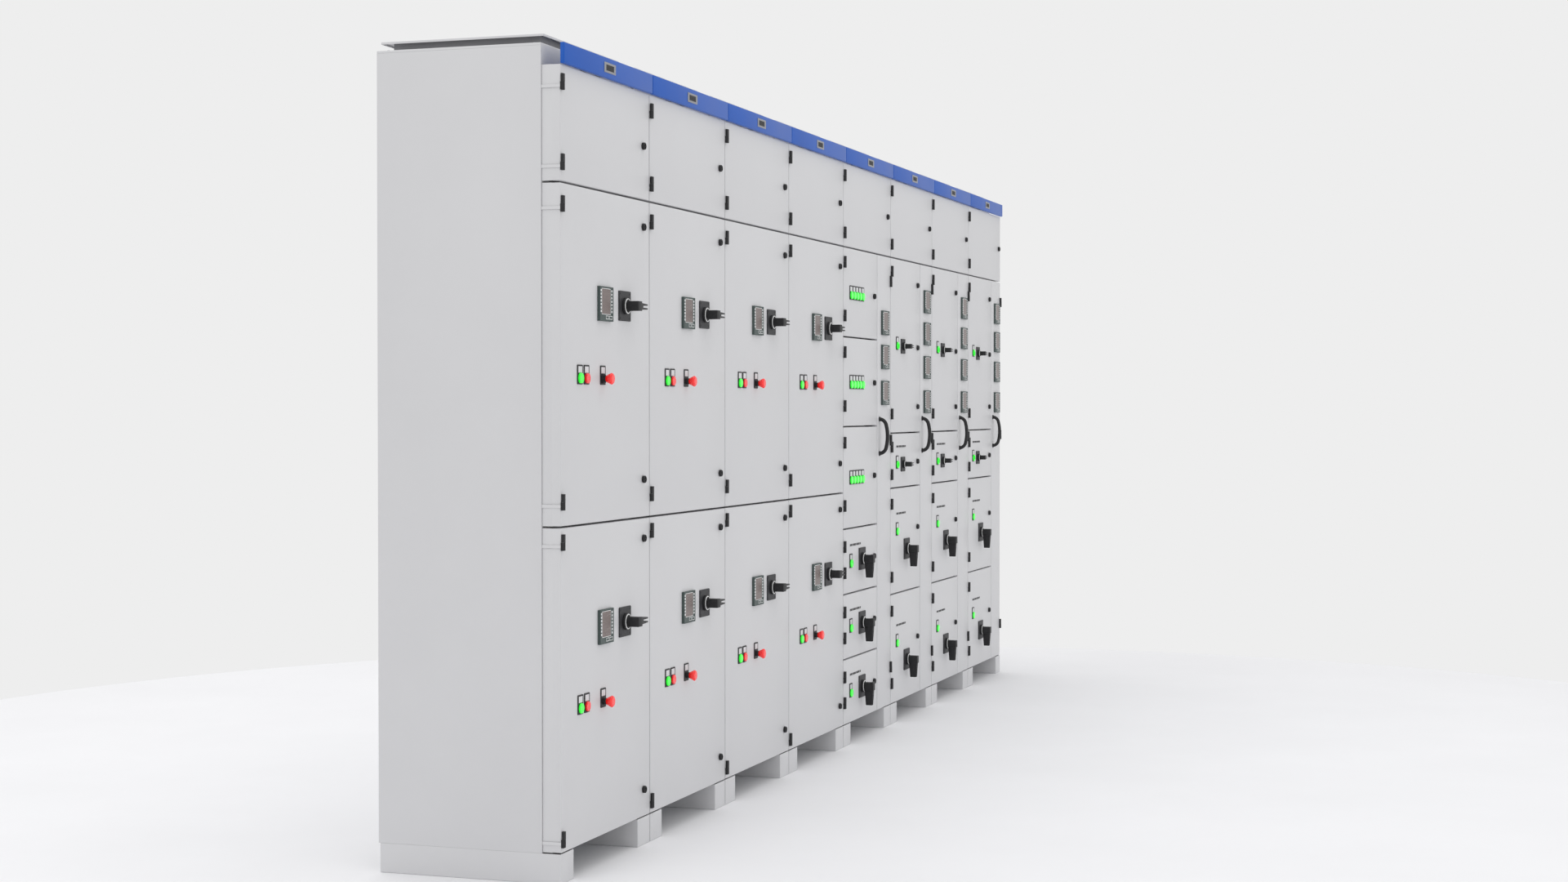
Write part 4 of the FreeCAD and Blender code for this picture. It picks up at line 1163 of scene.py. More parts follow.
@dataclass
class Rotary:
    """A rotary operator: its square plate, boss, pale ring and grip, which points along the door."""

    ratio: float = 1.0
    side: float = 78.0
    plate: float = 3.5
    boss: float = 22.0
    boss_top: float = 11.5
    reach: float = 67.0
    back: float = 13.0
    front_y: float = 46.0
    root: float = 25.0
    slot: float = 6.0

    def base(self, hole: float = 0.0) -> bpy.types.Object:
        """The square plate with a sunk border and four corner screws.

        Args:
            hole: The radius of the spindle's hole, or 0.

        Returns:
            The plate.
        """
        half = self.side / 2 * self.ratio
        plate = block("plate", (-half, half), (-self.plate, 0), (-half, half))
        pick_edges(plate, endways)
        bpy.ops.mesh.bevel(offset=3.0 * self.ratio * MM, segments=3)
        leave()
        inset(plate, front, 2.5 * self.ratio, 0.0)
        if hole:
            carve(plate, rod("hole", (hole, hole), -9, 5, sides=32))
        else:
            ease(plate, 0.5, 1)
        parts = [dress(plate, PALETTE[PLATE_MOULDING])]
        far = half - 7 * self.ratio
        for x in (-far, far):
            for z in (-far, far):
                screw = rod("screw", (2.6, 2.6), -self.plate - 0.5, -self.plate + 0.5, at=(x, z), sides=10)
                parts.append(dress(screw, PALETTE[BLACK_MOULDING]))
        return join("rotary_plate", parts)

    def hub(self) -> list[bpy.types.Object]:
        """The boss and the pale ring on it.

        Returns:
            The boss and the ring.
        """
        start = -self.plate - 0.3
        radius = self.boss * self.ratio
        boss = rod("boss", (radius - 0.6, radius), -self.boss_top, start, sides=40)
        ease(boss, 0.8, 2)
        ring = rod("ring", (radius - 2.0, radius - 1.6), -self.boss_top - 1.0, -self.boss_top + 0.2, sides=40)
        inset(ring, front, 2.6 * self.ratio, -0.8)
        dress(ring, PALETTE[WHITE_PRINT])
        dress_faces(
            ring,
            PALETTE[BLACK_MOULDING],
            lambda centre, normal: normal.y < -0.9 and centre.xz.length < (self.boss - 8) * self.ratio,
        )
        return [dress(boss, PALETTE[BLACK_MOULDING]), ring]

    def lever(self) -> bpy.types.Object:
        """A square hub that stands out from the ring, and a narrower arm that ends in a fork.

        Returns:
            The grip.
        """
        r = self.ratio
        outer = -self.boss_top - (self.front_y - self.boss_top) * r
        half = self.root / 2 * r
        hub_end = 14.0
        grip = block("grip", (-self.back * r, hub_end * r), (outer, -self.boss_top), (-half, half))
        pick(grip, lambda centre, normal: normal.x > 0.99)
        bpy.ops.mesh.inset(thickness=2.0 * r * MM, depth=0.0)
        bpy.ops.transform.resize(value=(1.0, 1.0, 0.82))
        bpy.ops.mesh.extrude_region_move(
            TRANSFORM_OT_translate={"value": ((self.reach - hub_end) * r * MM, 0.0, 0.0)}
        )
        bpy.ops.transform.resize(value=(1.0, 0.76, 0.84))
        leave()
        gap = self.slot / 2 * r
        carve(grip, block("fork", (30 * r, 80 * r), (outer - 5, 0), (-gap, gap)))
        return dress(ease(grip, 1.2 * r, 2, angle=50), PALETTE[BLACK_MOULDING])

    def lug(self) -> bpy.types.Object:
        """The round lug that takes a padlock, across the grip's root.

        Returns:
            The lug.
        """
        half = self.root / 2 + 2.0
        place = (-self.back + 3.0, -self.front_y + 6.0)
        lug = rod("lug", (5.5, 5.5), -half, half, place, 20, "z")
        return dress(ease(lug, 0.8, 1), PALETTE[BLACK_MOULDING])

    def spindle(self) -> bpy.types.Object:
        """The working handle's shaft through the door."""
        shaft = rod("spindle", (5.0, 5.0), -self.plate - 1, 20, sides=20)
        return dress(ease(shaft, 0.8, 1), PALETTE[ZINC_PLATE])

    def handle(self, with_lug: bool = False, with_spindle: bool = False) -> bpy.types.Object:
        """Makes the handle.

        Args:
            with_lug: Whether it has the padlock lug.
            with_spindle: Whether its shaft is seen through the door.

        Returns:
            The piece, which points right.
        """
        parts = [*self.hub(), self.lever()]
        if with_lug:
            parts.append(self.lug())
        if with_spindle:
            parts.append(self.spindle())
        return join("rotary_handle_master", parts)


@dataclass
class Lock:
    """A quarter-turn lock: an eight-sided knob with a driver recess, its nut, shaft and cam."""

    radius: float = 10.4
    proud: float = 8.0
    gap: float = 0.3

    def build(self) -> tuple[bpy.types.Object, bpy.types.Object]:
        """Makes the lock with its cam hanging down.

        Returns:
            What turns, and the nut that stays on the door.
        """
        knob = rod("knob", (self.radius - 0.7, self.radius), -self.proud, -self.gap, sides=8)
        inset(knob, front, 3.2, -2.6)
        ease(knob, 1.0, 2)
        driver = rod("driver", (3.4, 3.4), -self.proud + 0.6, -self.gap, sides=3)
        shaft = rod("shaft", (4.0, 4.0), -self.gap, 26, sides=16)
        nut = rod("nut", (9.5, 9.5), 2.4, 7.5, sides=6)
        carve(nut, rod("bore", (4.3, 4.3), 0, 10, sides=16))
        cam = block("cam", (-4.5, 4.5), (25, 28), (-24, 4.5))
        pick_edges(cam, endways)
        bpy.ops.mesh.bevel(offset=3.0 * MM, segments=3)
        leave()
        steel = [dress(ease(part, 0.4, 1), PALETTE[ZINC_PLATE]) for part in (shaft, cam)]
        black = [dress(part, PALETTE[BLACK_MOULDING]) for part in (knob, driver, ease(nut, 0.5, 1))]
        return join("lock", black[:2] + steel), join("lock_nut", [black[2]])


@dataclass
class Hinge:
    """A lift-off hinge: the frame's half with its pin and leaf below, the door's half above."""

    height: float = 40.0
    radius: float = 3.5
    axis_in: float = 1.5
    axis_out: float = 4.1
    pin: float = 2.0
    gap: float = 0.15
    leaf: tuple[float, float] = (-2.4, -1.1)
    strap: tuple[float, float] = (-14.0, -6.0)

    def frame_half(self, side: int, flanged: bool) -> bpy.types.Object:
        """The frame's half.

        Args:
            side: 1 for a left-hinged door, -1 for a right-hinged one.
            flanged: Whether the leaf ends in a flange on the post.

        Returns:
            The piece, measured from the door's hinged edge.
        """
        half = self.height / 2
        centre = (self.axis_in * side, -self.axis_out)
        barrel = rod("barrel", (self.radius - 0.5, self.radius), -half, -half + 1.5, centre, 20, "z")
        pull(barrel, lambda c, n: n.z > 0.99, (0, 0, half - 1.5 - self.gap))
        pin = rod("pin", (self.pin, self.pin - 0.3), -self.gap, half - 3, centre, 14, "z")

        def across(start: float, end: float) -> tuple[float, float]:
            """Two distances from the door's edge, on the hinge's own side."""
            return (start, end) if side > 0 else (-end, -start)

        root = block("leaf_root", across(*self.leaf), (-self.axis_out, 0), (-half, -self.gap))
        plates = [block("leaf", across(*self.leaf), (0, 50), self.strap)]
        if flanged:
            plates.append(block("flange", across(self.leaf[0], 7.5), (50, 52), self.strap))
        parts = [dress(ease(part, 0.15, 1), PALETTE[GREY_COAT]) for part in plates]
        parts += [dress(part, PALETTE[BLACK_MOULDING]) for part in (barrel, ease(root, 0.4, 1))]
        return join("hinge_frame_half", [*parts, dress(pin, PALETTE[ZINC_PLATE])])

    def door_half(self, side: int) -> bpy.types.Object:
        """The door's half: a bored knuckle, the block screwed to the door's face, and the block's skirt.

        The skirt hangs beside the frame's barrel and clears it as the door turns.

        Args:
            side: 1 for a left-hinged door, -1 for a right-hinged one.

        Returns:
            The piece, measured from the door's hinged edge.
        """
        half = self.height / 2
        centre = (self.axis_in * side, -self.axis_out)
        knuckle = rod("knuckle", (self.radius, self.radius - 0.5), self.gap, half, centre, 20, "z")
        low, high = (self.axis_in, 11.0) if side > 0 else (-11.0, -self.axis_in)
        flap = block("flap", (low, high), (-self.axis_out - self.radius, 0), (self.gap, half))
        carve(knuckle, rod("bore", (2.09, 2.09), -1, half - 2.5, centre, 24, "z"))
        carve(flap, rod("bore", (2.09, 2.09), -1, half - 2.5, centre, 24, "z"))
        ease(flap, 0.9, 2, angle=60)
        clear = self.axis_in + self.radius + self.gap * 2
        low, high = (clear, 11.0) if side > 0 else (-11.0, -clear)
        skirt = block("skirt", (low, high), (-self.axis_out - self.radius, 0), (-half, self.gap + 1.0))
        ease(skirt, 0.9, 2, angle=60)
        parts = [dress(part, PALETTE[BLACK_MOULDING]) for part in (knuckle, flap, skirt)]
        return join("hinge_door_half", parts)


@dataclass
class BowHandle:
    """The cable door's curved handle: two tight bends, a long shallow one, and flared feet."""

    feet: float = 62.0
    bar: float = 7.4
    end_radius: float = 26.3
    long_radius: float = 164.3
    turn: float = 75.0

    def build(self) -> bpy.types.Object:
        """Spins a round section along the three arcs.

        Returns:
            The handle.
        """
        deselect()
        bpy.ops.mesh.primitive_circle_add(
            vertices=14,
            radius=self.bar * MM,
            fill_type="NGON",
            location=(0, 0, self.feet * MM),
            rotation=TURNS["y"],
        )
        bow = settle(bpy.context.object, "bow")
        only(bow)
        bpy.ops.object.mode_set(mode="EDIT")
        bpy.ops.mesh.select_mode(type="FACE")
        bpy.ops.mesh.select_all(action="SELECT")
        bpy.ops.transform.resize(value=(1.15, 1.0, 0.9))
        turn = math.radians(self.turn)
        rest = math.pi - 2 * turn
        end_y = -self.end_radius * math.sin(turn)
        long_y = end_y + self.long_radius * math.sin(turn)
        centres = (
            (0.0, self.feet - self.end_radius, turn, 8),
            (long_y, 0.0, rest, 10),
            (0.0, -self.feet + self.end_radius, turn, 8),
        )
        for y, z, angle, steps in centres:
            bpy.ops.mesh.spin(steps=steps, angle=-angle, center=(0, y * MM, z * MM), axis=(1, 0, 0))
        leave()
        outwards(bow)
        feet = []
        for z in (-self.feet, self.feet):
            foot = rod("foot", (self.bar + 0.8, self.bar + 2.2), -4.0, 0.0, at=(0, z), sides=20)
            feet.append(dress(ease(foot, 0.8, 2), PALETTE[BLACK_MOULDING]))
        return join("bow_handle", [dress(bow, PALETTE[BLACK_MOULDING]), *feet])


@dataclass
class LabelStrip:
    """A thin strip with a row of plain dark marks."""

    width: float = 143.0
    height: float = 10.0

    def build(self) -> bpy.types.Object:
        """Makes the strip. Its marks are plain bars of two lengths and stand for no letters.

        Returns:
            The strip.
        """
        half, tall = self.width / 2, self.height / 2
        strip = block("strip", (-half, half), (-0.8, 0), (-tall, tall))
        inset(strip, front, 0.8)
        dress(strip, PALETTE[WHITE_LAMINATE])
        parts = [strip]
        x = -half + 5.0
        for place in range(12):
            length = 9.5 if place % 3 else 6.0
            if place % 4 == 3:
                x += 3.0
            mark = block("mark", (x, x + length), (-1.15, -0.7), (-3.7, 3.7))
            inset(mark, front, 0.7, 0.05)
            parts.append(dress(mark, PALETTE[BLACK_MOULDING]))
            x += length + 2.0
        return join("label_strip", parts)


# ------------------------------------------------------------------ doors with all that is fixed to them
class DoorMaker:
    """Models every fitting once and puts the doors together."""

    def __init__(self) -> None:
        """Models the masters."""
        self.meter = Meter().build()
        button = Button()
        self.buttons = {kind: button.build(kind) for kind in Front}
        big, small = Rotary(), Rotary(ratio=0.7)
        self.plates = {"big": big.base(), "open": big.base(5.35), "small": small.base()}
        self.handles = {
            "plain": big.handle(),
            "small": small.handle(),
            "lugged": big.handle(with_lug=True),
        }
        self.lock, self.nut = Lock().build()
        self.bow = BowHandle().build()
        self.label = LabelStrip().build()
        hinge = Hinge()
        self.door_halves = {side: hinge.door_half(side) for side in (1, -1)}
        self.frame_halves = {
            (side, flanged): hinge.frame_half(side, flanged) for side in (1, -1) for flanged in (True, False)
        }
        self.skins: dict[tuple, bpy.types.Object] = {}

    def masters(self) -> list[bpy.types.Object]:
        """Every piece that was only modelled to be copied.

        Returns:
            The masters.
        """
        groups = (self.buttons, self.plates, self.handles, self.door_halves, self.frame_halves, self.skins)
        singles = [self.meter, self.lock, self.nut, self.bow, self.label]
        return singles + [piece for pieces in groups for piece in pieces.values()]

    def put(
        self,
        master: bpy.types.Object,
        bay: int,
        kind: str,
        word: str,
        x: float,
        z: float,
        slot: Slot,
        down: bool = False,
    ) -> bpy.types.Object:
        """Puts a copy of a fitting on a door.

        Args:
            master: The fitting.
            bay: The door's bay.
            kind: The door's kind.
            word: The piece's own name, after the door's.
            x: Its place across the bay.
            z: Its height.
            slot: The record's slot.
            down: Whether it is turned to point down.

        Returns:
            The piece.
        """
        turn = Matrix.Rotation(math.pi / 2, 4, "Y") if down else None
        name = f"bay{bay + 1}_{kind}_{word}"
        piece = copy_at(master, name, row(PITCH * bay + x, 0, z), turn)
        return register(piece, f"bay{bay + 1}_{kind}_door", slot)

    def gather(
        self,
        name: str,
        bay: int,
        body: str,
        slot: Slot,
        fittings: Sequence[tuple[bpy.types.Object, float, float]],
        *nodes: str,
    ) -> bpy.types.Object:
        """Makes one piece of several fittings on one body.

        Args:
            name: The piece's name.
            bay: Their bay.
            body: The body that they move with.
            slot: The record's slot.
            fittings: Each master with its place across the bay and its height.
            *nodes: The CAD nodes that the piece stands for.

        Returns:
            The piece.
        """
        parts = [copy_at(master, name, row(PITCH * bay + x, 0, z)) for master, x, z in fittings]
        return register(join(name, parts), body, slot, *nodes)

    def skin(self, bay: int, kind: str) -> None:
        """Puts the door's sheet metal in place, and says that it stands for the CAD door.

        Args:
            bay: The door's bay.
            kind: The door's kind.
        """
        left, right = sides(bay, kind)
        door = DOORS[kind]
        low, high = door.low + GAP / 2, door.high - GAP / 2
        working = (bay, kind) == WORKING_DOOR
        key = (kind, round(right - left, 2), working)
        if key not in self.skins:
            holes = []
            if working:
                radii = {"handle": 5.35, "start": 11.15, "stop": 11.15, "emergency": 8.85, "lock": 4.35}
                for name, (x, z) in WorkingControls.places().items():
                    at = (x - left, z - low)
                    holes.append(rod("hole", (radii[name], radii[name]), -3, 9, at, 40))
            maker = DoorSkin(width=right - left, height=high - low)
            self.skins[key] = maker.build(kind != "cable", holes)
        name = f"bay{bay + 1}_{kind}_skin"
        piece = copy_at(self.skins[key], name, row(PITCH * bay + left, 0, low))
        register(piece, f"bay{bay + 1}_{kind}_door", Slot.PAINT, f"bay{bay + 1}_{kind}_door")

    def rotary(self, bay: int, kind: str, x: float, z: float, handle: str, down: bool) -> None:
        """Puts a rotary operator on a door, its handle pointing right or down.

        Args:
            bay: The door's bay.
            kind: The door's kind.
            x: Its place across the bay.
            z: Its height.
            handle: The handle's master.
            down: Whether the handle points down.
        """
        plate = self.plates["small" if handle == "small" else "big"]
        self.put(plate, bay, kind, "rotary_plate", x, z, Slot.BLACK)
        self.put(self.handles[handle], bay, kind, "rotary_handle", x, z, Slot.BLACK, down)

    def line_front(self, bay: int, kind: str) -> None:
        """Dresses an incomer door.

        Args:
            bay: The door's bay.
            kind: The door's kind.
        """
        middle = DOORS[kind].middle
        meter_z, button_z = middle + METER_UP, middle - TILE_DOWN - TILE_DROP
        self.put(self.meter, bay, kind, "meter", METER_X, meter_z, Slot.METER)
        working = (bay, kind) == WORKING_DOOR
        if working:
            self.put(self.plates["open"], bay, kind, "rotary_plate", LINE_ROTARY_X, meter_z, Slot.BLACK)
            kinds = (Front.OPEN_START, Front.OPEN_STOP, Front.OPEN_COLLAR)
        else:
            self.rotary(bay, kind, LINE_ROTARY_X, meter_z, "plain", False)
            kinds = (Front.START, Front.STOP, Front.EMERGENCY)
        words = ("start", "stop", "emergency")
        slots = (Slot.GREEN, Slot.RED, Slot.RED)
        for face, x, word, slot in zip(kinds, (GREEN_X, RED_X, EMERGENCY_X), words, slots):
            self.put(self.buttons[face], bay, kind, f"{word}_station", x, button_z, slot)

    def lamp(self, bay: int, kind: str, x: float, z: float) -> None:
        """Puts a lamp on a door, its tile's middle at z."""
        self.put(self.buttons[Front.LAMP], bay, kind, "lamp", x, z - TILE_DROP, Slot.GREEN)

    def front(self, bay: int, kind: str) -> None:
        """Dresses a door by its kind.

        Args:
            bay: The door's bay.
            kind: The door's kind.
        """
        door = DOORS[kind]
        if kind in ("lower", "upper"):
            self.line_front(bay, kind)
        elif kind.startswith("signal"):
            lamp = self.buttons[Front.LAMP]
            places = [(lamp, LAMP_X + LAMP_PITCH * place, door.middle - TILE_DROP) for place in range(5)]
            self.gather(f"bay{bay + 1}_{kind}_lamps", bay, f"bay{bay + 1}_{kind}_door", Slot.GREEN, places)
        elif kind.startswith("starter"):
            self.put(self.label, bay, kind, "label", LABEL_X, door.high - STARTER_LABEL_DROP, Slot.WHITE)
            self.lamp(bay, kind, LAMP_X, door.middle)
            self.rotary(bay, kind, STARTER_ROTARY_X, door.middle, "lugged", True)
        elif kind.startswith("feeder"):
            x, z = FEEDER_ROTARY[kind]
            small = kind in ("feeder_a", "feeder_b")
            self.lamp(bay, kind, LAMP_X, FEEDER_LAMP_Z[kind])
            self.rotary(bay, kind, x, z, "small" if small else "plain", not small)
            if kind in FEEDER_LABEL_Z:
                self.put(self.label, bay, kind, "label", LABEL_X, FEEDER_LABEL_Z[kind], Slot.WHITE)
        elif kind == "cable":
            self.put(self.bow, bay, kind, "bow_handle", BOW_X, BOW_Z, Slot.BLACK)
            heights = SIGNAL_METER_Z if bay == SIGNAL_BAY else FEEDER_METER_Z
            for place, z in enumerate(heights, start=1):
                self.put(self.meter, bay, kind, f"meter_{place}", CABLE_METER_X, z, Slot.METER)

    def locks(self, bay: int, kind: str) -> None:
        """Puts a door's locks on it. The working lock is left out, but for its nut.

        Args:
            bay: The door's bay.
            kind: The door's kind.
        """
        lock_x = LOCK_X["compartment" if bay not in LINE_BAYS and kind != "top" else "line"]
        heights = DOORS[kind].locks
        fittings = [(self.nut, lock_x, z) for z in heights]
        fixed = heights[:1] if (bay, kind) == WORKING_DOOR else heights
        fittings += [(self.lock, lock_x, z) for z in fixed]
        if fittings:
            self.gather(f"bay{bay + 1}_{kind}_locks", bay, f"bay{bay + 1}_{kind}_door", Slot.BLACK, fittings)

    def hinges(self, bay: int, kind: str) -> None:
        """Puts a door's hinge halves on it, and the halves that hold them on the frame.

        Args:
            bay: The door's bay.
            kind: The door's kind.
        """
        left, right = sides(bay, kind)
        side, edge = (-1, right) if kind == "cable" else (1, left)
        at_end = bay == (BAYS - 1 if kind == "cable" else 0)
        heights = DOORS[kind].hinges
        name = f"bay{bay + 1}_{kind}_hinges"
        on_door = [(self.door_halves[side], edge, z) for z in heights]
        self.gather(name, bay, f"bay{bay + 1}_{kind}_door", Slot.BLACK, on_door)
        on_frame = [(self.frame_halves[side, not at_end], edge, z) for z in heights]
        self.gather(f"{name}_on_frame", bay, ROOT, Slot.BLACK, on_frame, "hinge_frame_halves")

    def build(self) -> None:
        """Makes all the doors."""
        for bay in range(BAYS):
            for kind in kinds_in(bay):
                self.skin(bay, kind)
                self.front(bay, kind)
                self.locks(bay, kind)
                self.hinges(bay, kind)
            LOG.info("bay %d has %d doors", bay + 1, len(kinds_in(bay)))
        discard(self.masters())


class WorkingControls:
    """The handle, the two buttons, the emergency stop and the lock that move on the upper door of bay 1."""

    @staticmethod
    def places() -> dict[str, tuple[float, float]]:
        """Each control's axis: X in the bay, and Z.

        Returns:
            The places by name.
        """
        bay_door = DOORS[WORKING_DOOR[1]]
        button_z = bay_door.middle - TILE_DOWN - TILE_DROP
        return {
            "handle": (LINE_ROTARY_X, bay_door.middle + METER_UP),
            "start": (GREEN_X, button_z),
            "stop": (RED_X, button_z),
            "emergency": (EMERGENCY_X, button_z),
            "lock": (LOCK_X["line"], bay_door.locks[1]),
        }

    @staticmethod
    def cap(finish: Finish) -> bpy.types.Object:
        """A flat cap with a broken edge, running through its ring.

        Args:
            finish: The cap's finish.

        Returns:
            The cap.
        """
        cap = rod("cap", (10.8, 10.8), -7.0, 4.0, sides=32)
        inset(cap, front, 2.2, 0.0)
        ease(cap, 0.8, 2)
        return join("cap", [dress(cap, PALETTE[finish])])

    @staticmethod
    def mushroom() -> bpy.types.Object:
        """The emergency stop's head with its neck through the door.

        Returns:
            The piece.
        """
        neck, head = Button().mushroom()
        pull(neck, rear, (0, 6, 0))
        return join("mushroom", [neck, head])

    def build(self) -> None:
        """Makes the five controls."""
        lock, nut = Lock().build()
        discard([nut])
        makers = {
            "handle": ("rotary_handle", Rotary().handle(with_spindle=True), Slot.BLACK),
            "start": ("start_button", self.cap(GREEN_LENS), Slot.GREEN),
            "stop": ("stop_button", self.cap(RED_CAP_PAINTED_GLOW), Slot.RED),
            "emergency": ("emergency_stop", self.mushroom(), Slot.RED),
            "lock": ("door_lock", lock, Slot.BLACK),
        }
        for key, (x, z) in self.places().items():
            body, master, slot = makers[key]
            piece = copy_at(master, f"working_{body}", row(x, 0, z))
            register(piece, body, slot, body)
        discard(master for _body, master, _slot in makers.values())
        LOG.info("working controls: %d", len(makers))


# ------------------------------------------------------------------ the strip over the doors
@dataclass
class Fascia:
    """The blue strip over each bay's top door, with its nameplate."""

    low: float = 2008.0
    high: float = 2059.0
    proud: float = 10.6
    sheet: float = 2.0
    plate_width: float = 76.0
    plate_height: float = 26.0

    def strip(self, width: float) -> bpy.types.Object:
        """The folded strip, measured from its lower left corner."""
        limits = ((0, width), (-self.proud, 0), (0, self.high - self.low))
        return join("strip", [dress(fold("strip", limits, self.sheet, 2.2, rear), PALETTE[BLUE_COAT])])

    def brackets(self) -> bpy.types.Object:
        """The two flat brackets that hold the strip to the head rail, measured from the bay's left seam.

        Returns:
            The brackets.
        """
        parts = []
        for x in (250, 350):
            plate = block("bracket", (x, x + self.sheet), (-self.proud + self.sheet, 50), (12, 42))
            parts.append(dress(ease(plate, 0.4, 1), PALETTE[ZINC_PLATE]))
        return join("brackets", parts)

    def nameplate(self) -> bpy.types.Object:
        """A brushed plate with a dark field and four plain raised bars.

        Returns:
            The plate.
        """
        wide, tall = self.plate_width / 2, self.plate_height / 2
        plate = block("nameplate", (-wide, wide), (-self.proud - 1.0, -self.proud), (-tall, tall))
        pick_edges(plate, endways)
        bpy.ops.mesh.bevel(offset=2.0 * MM, segments=3)
        leave()
        inset(plate, front, 1.0)
        field = block("field", (-25, 25), (-self.proud - 1.25, -self.proud - 0.8), (-7.5, 7.5))
        inset(field, front, 0.8, -0.1)
        parts = [dress(plate, PALETTE[BRUSHED_ALUMINIUM]), dress(field, PALETTE[BLACK_MOULDING])]
        for x in (-17.0, -7.0, 3.0, 13.0):
            bar = block("bar", (x, x + 4.0), (-self.proud - 1.5, -self.proud - 1.1), (-2.5, 2.5))
            inset(bar, front, 0.8, 0.05)
            parts.append(dress(bar, PALETTE[PLATE_MOULDING]))
        return join("nameplate", parts)

    def build(self) -> None:
        """Makes the eight strips and nameplates."""
        strips: dict[float, bpy.types.Object] = {}
        brackets, plate = self.brackets(), self.nameplate()
        for bay in range(BAYS):
            left = END_INSET if bay == 0 else 1.5
            right = PITCH - (END_INSET if bay == BAYS - 1 else 1.5)
            width = right - left
            if width not in strips:
                strips[width] = self.strip(width)
            start = PITCH * bay
            strip = copy_at(strips[width], f"bay{bay + 1}_fascia", row(start + left, 0, self.low))
            register(strip, ROOT, Slot.BLUE, "fascia_trays")
            holders = copy_at(brackets, f"bay{bay + 1}_fascia_brackets", row(start, 0, self.low))
            register(holders, ROOT, Slot.ZINC, "fascia_trays")
            middle = (self.low + self.high) / 2
            name = copy_at(plate, f"bay{bay + 1}_nameplate", row(start + PITCH / 2, 0, middle))
            register(name, ROOT, Slot.NAMEPLATE, "nameplates")
        discard([*strips.values(), brackets, plate])
        LOG.info("fascia strips: %d", BAYS)


# ------------------------------------------------------------------ feet and roof
@dataclass
class FoldedSheets:
    """The plinth feet, roof sheets, vent rings and roof covers, each folded from one sheet."""

    end_inset: float = 8.0
    foot_gap: float = 2.5
    foot_inner: float = 87.5
    foot_length: float = 494.0
    foot_height: float = 74.0
    foot_wall: float = 3.0
    anchor_radius: float = 7.0
    anchor_x: float = 45.0
    anchor_y: tuple[float, float] = (47.0, 447.0)
    roof_gap: float = 0.2
    roof_y: tuple[float, float] = (50.0, 498.0)
    roof_z: tuple[float, float] = (2054.0, 2060.0)
    ring_side: float = 82.0
    ring_y: tuple[float, float] = (81.0, 490.0)
    ring_top: float = 2088.5
    ring_wall: float = 3.0
    cover_side: float = 57.0
    cover_y: tuple[float, float] = (65.0, 512.0)
    cover_z: tuple[float, float] = (2084.0, 2090.0)
    sheet: float = 1.5

    def ends(self, bay: int, gap: float) -> tuple[float, float]:
        """A bay-wide piece's left and right limit in its bay."""
        left = self.end_inset if bay == 0 else gap
        return left, PITCH - (self.end_inset if bay == BAYS - 1 else gap)

    def feet(self, bay: int) -> list[bpy.types.Object]:
        """A bay's two feet, open on top, with two anchor holes each.

        Args:
            bay: The bay's place in the line, from 0.

        Returns:
            The feet.
        """
        left, right = self.ends(bay, self.foot_gap)
        feet = []
        for side, anchor in (
            ((left, self.foot_inner), self.anchor_x),
            ((PITCH - self.foot_inner, right), PITCH - self.anchor_x),
        ):
            limits = (side, (0, self.foot_length), (0, self.foot_height))
            foot = fold("foot", limits, self.foot_wall, 2.0, lambda centre, normal: normal.z > 0.99)
            radii = (self.anchor_radius, self.anchor_radius)
            carve(foot, *(rod("anchor", radii, -5, 10, (anchor, y), 32, "z") for y in self.anchor_y))
            feet.append(foot)
        return feet

    def roof(self, bay: int) -> list[bpy.types.Object]:
        """A bay's roof sheet, turned down on four sides."""
        limits = (self.ends(bay, self.roof_gap), self.roof_y, self.roof_z)
        return [fold("roof", limits, self.sheet, 1.4, lambda centre, normal: normal.z < -0.99)]

    def ring(self, bay: int) -> list[bpy.types.Object]:
        """A bay's vent ring, open above and below."""
        limits = ((self.ring_side, PITCH - self.ring_side), self.ring_y, (self.roof_z[1], self.ring_top))
        return [fold("ring", limits, self.ring_wall, 3.0, lambda centre, normal: abs(normal.z) > 0.99)]

    def cover(self, bay: int) -> list[bpy.types.Object]:
        """A bay's cover plate, turned down on four sides."""
        limits = ((self.cover_side, PITCH - self.cover_side), self.cover_y, self.cover_z)
        return [fold("cover", limits, self.sheet, 1.4, lambda centre, normal: normal.z < -0.99)]

    def build(self) -> None:
        """Makes the four kinds of sheet for every bay."""
        kinds = (
            ("plinth_feet", self.feet, GREY_COAT, Slot.PAINT),
            ("roof_sheets", self.roof, GREY_COAT, Slot.PAINT),
            ("vent_rings", self.ring, DARK_COAT, Slot.DARK),
            ("roof_covers", self.cover, GREY_COAT, Slot.PAINT),
        )
        for node, make, finish, slot in kinds:
            parts = []
            for bay in range(BAYS):
                for part in make(bay):
                    part.data.transform(Matrix.Translation(row(PITCH * bay, 0, 0)))
                    parts.append(dress(part, PALETTE[finish]))
            register(join(f"{node}_folded", parts), ROOT, slot, node)
            LOG.info("%s: %d folded sheets", node, len(parts))


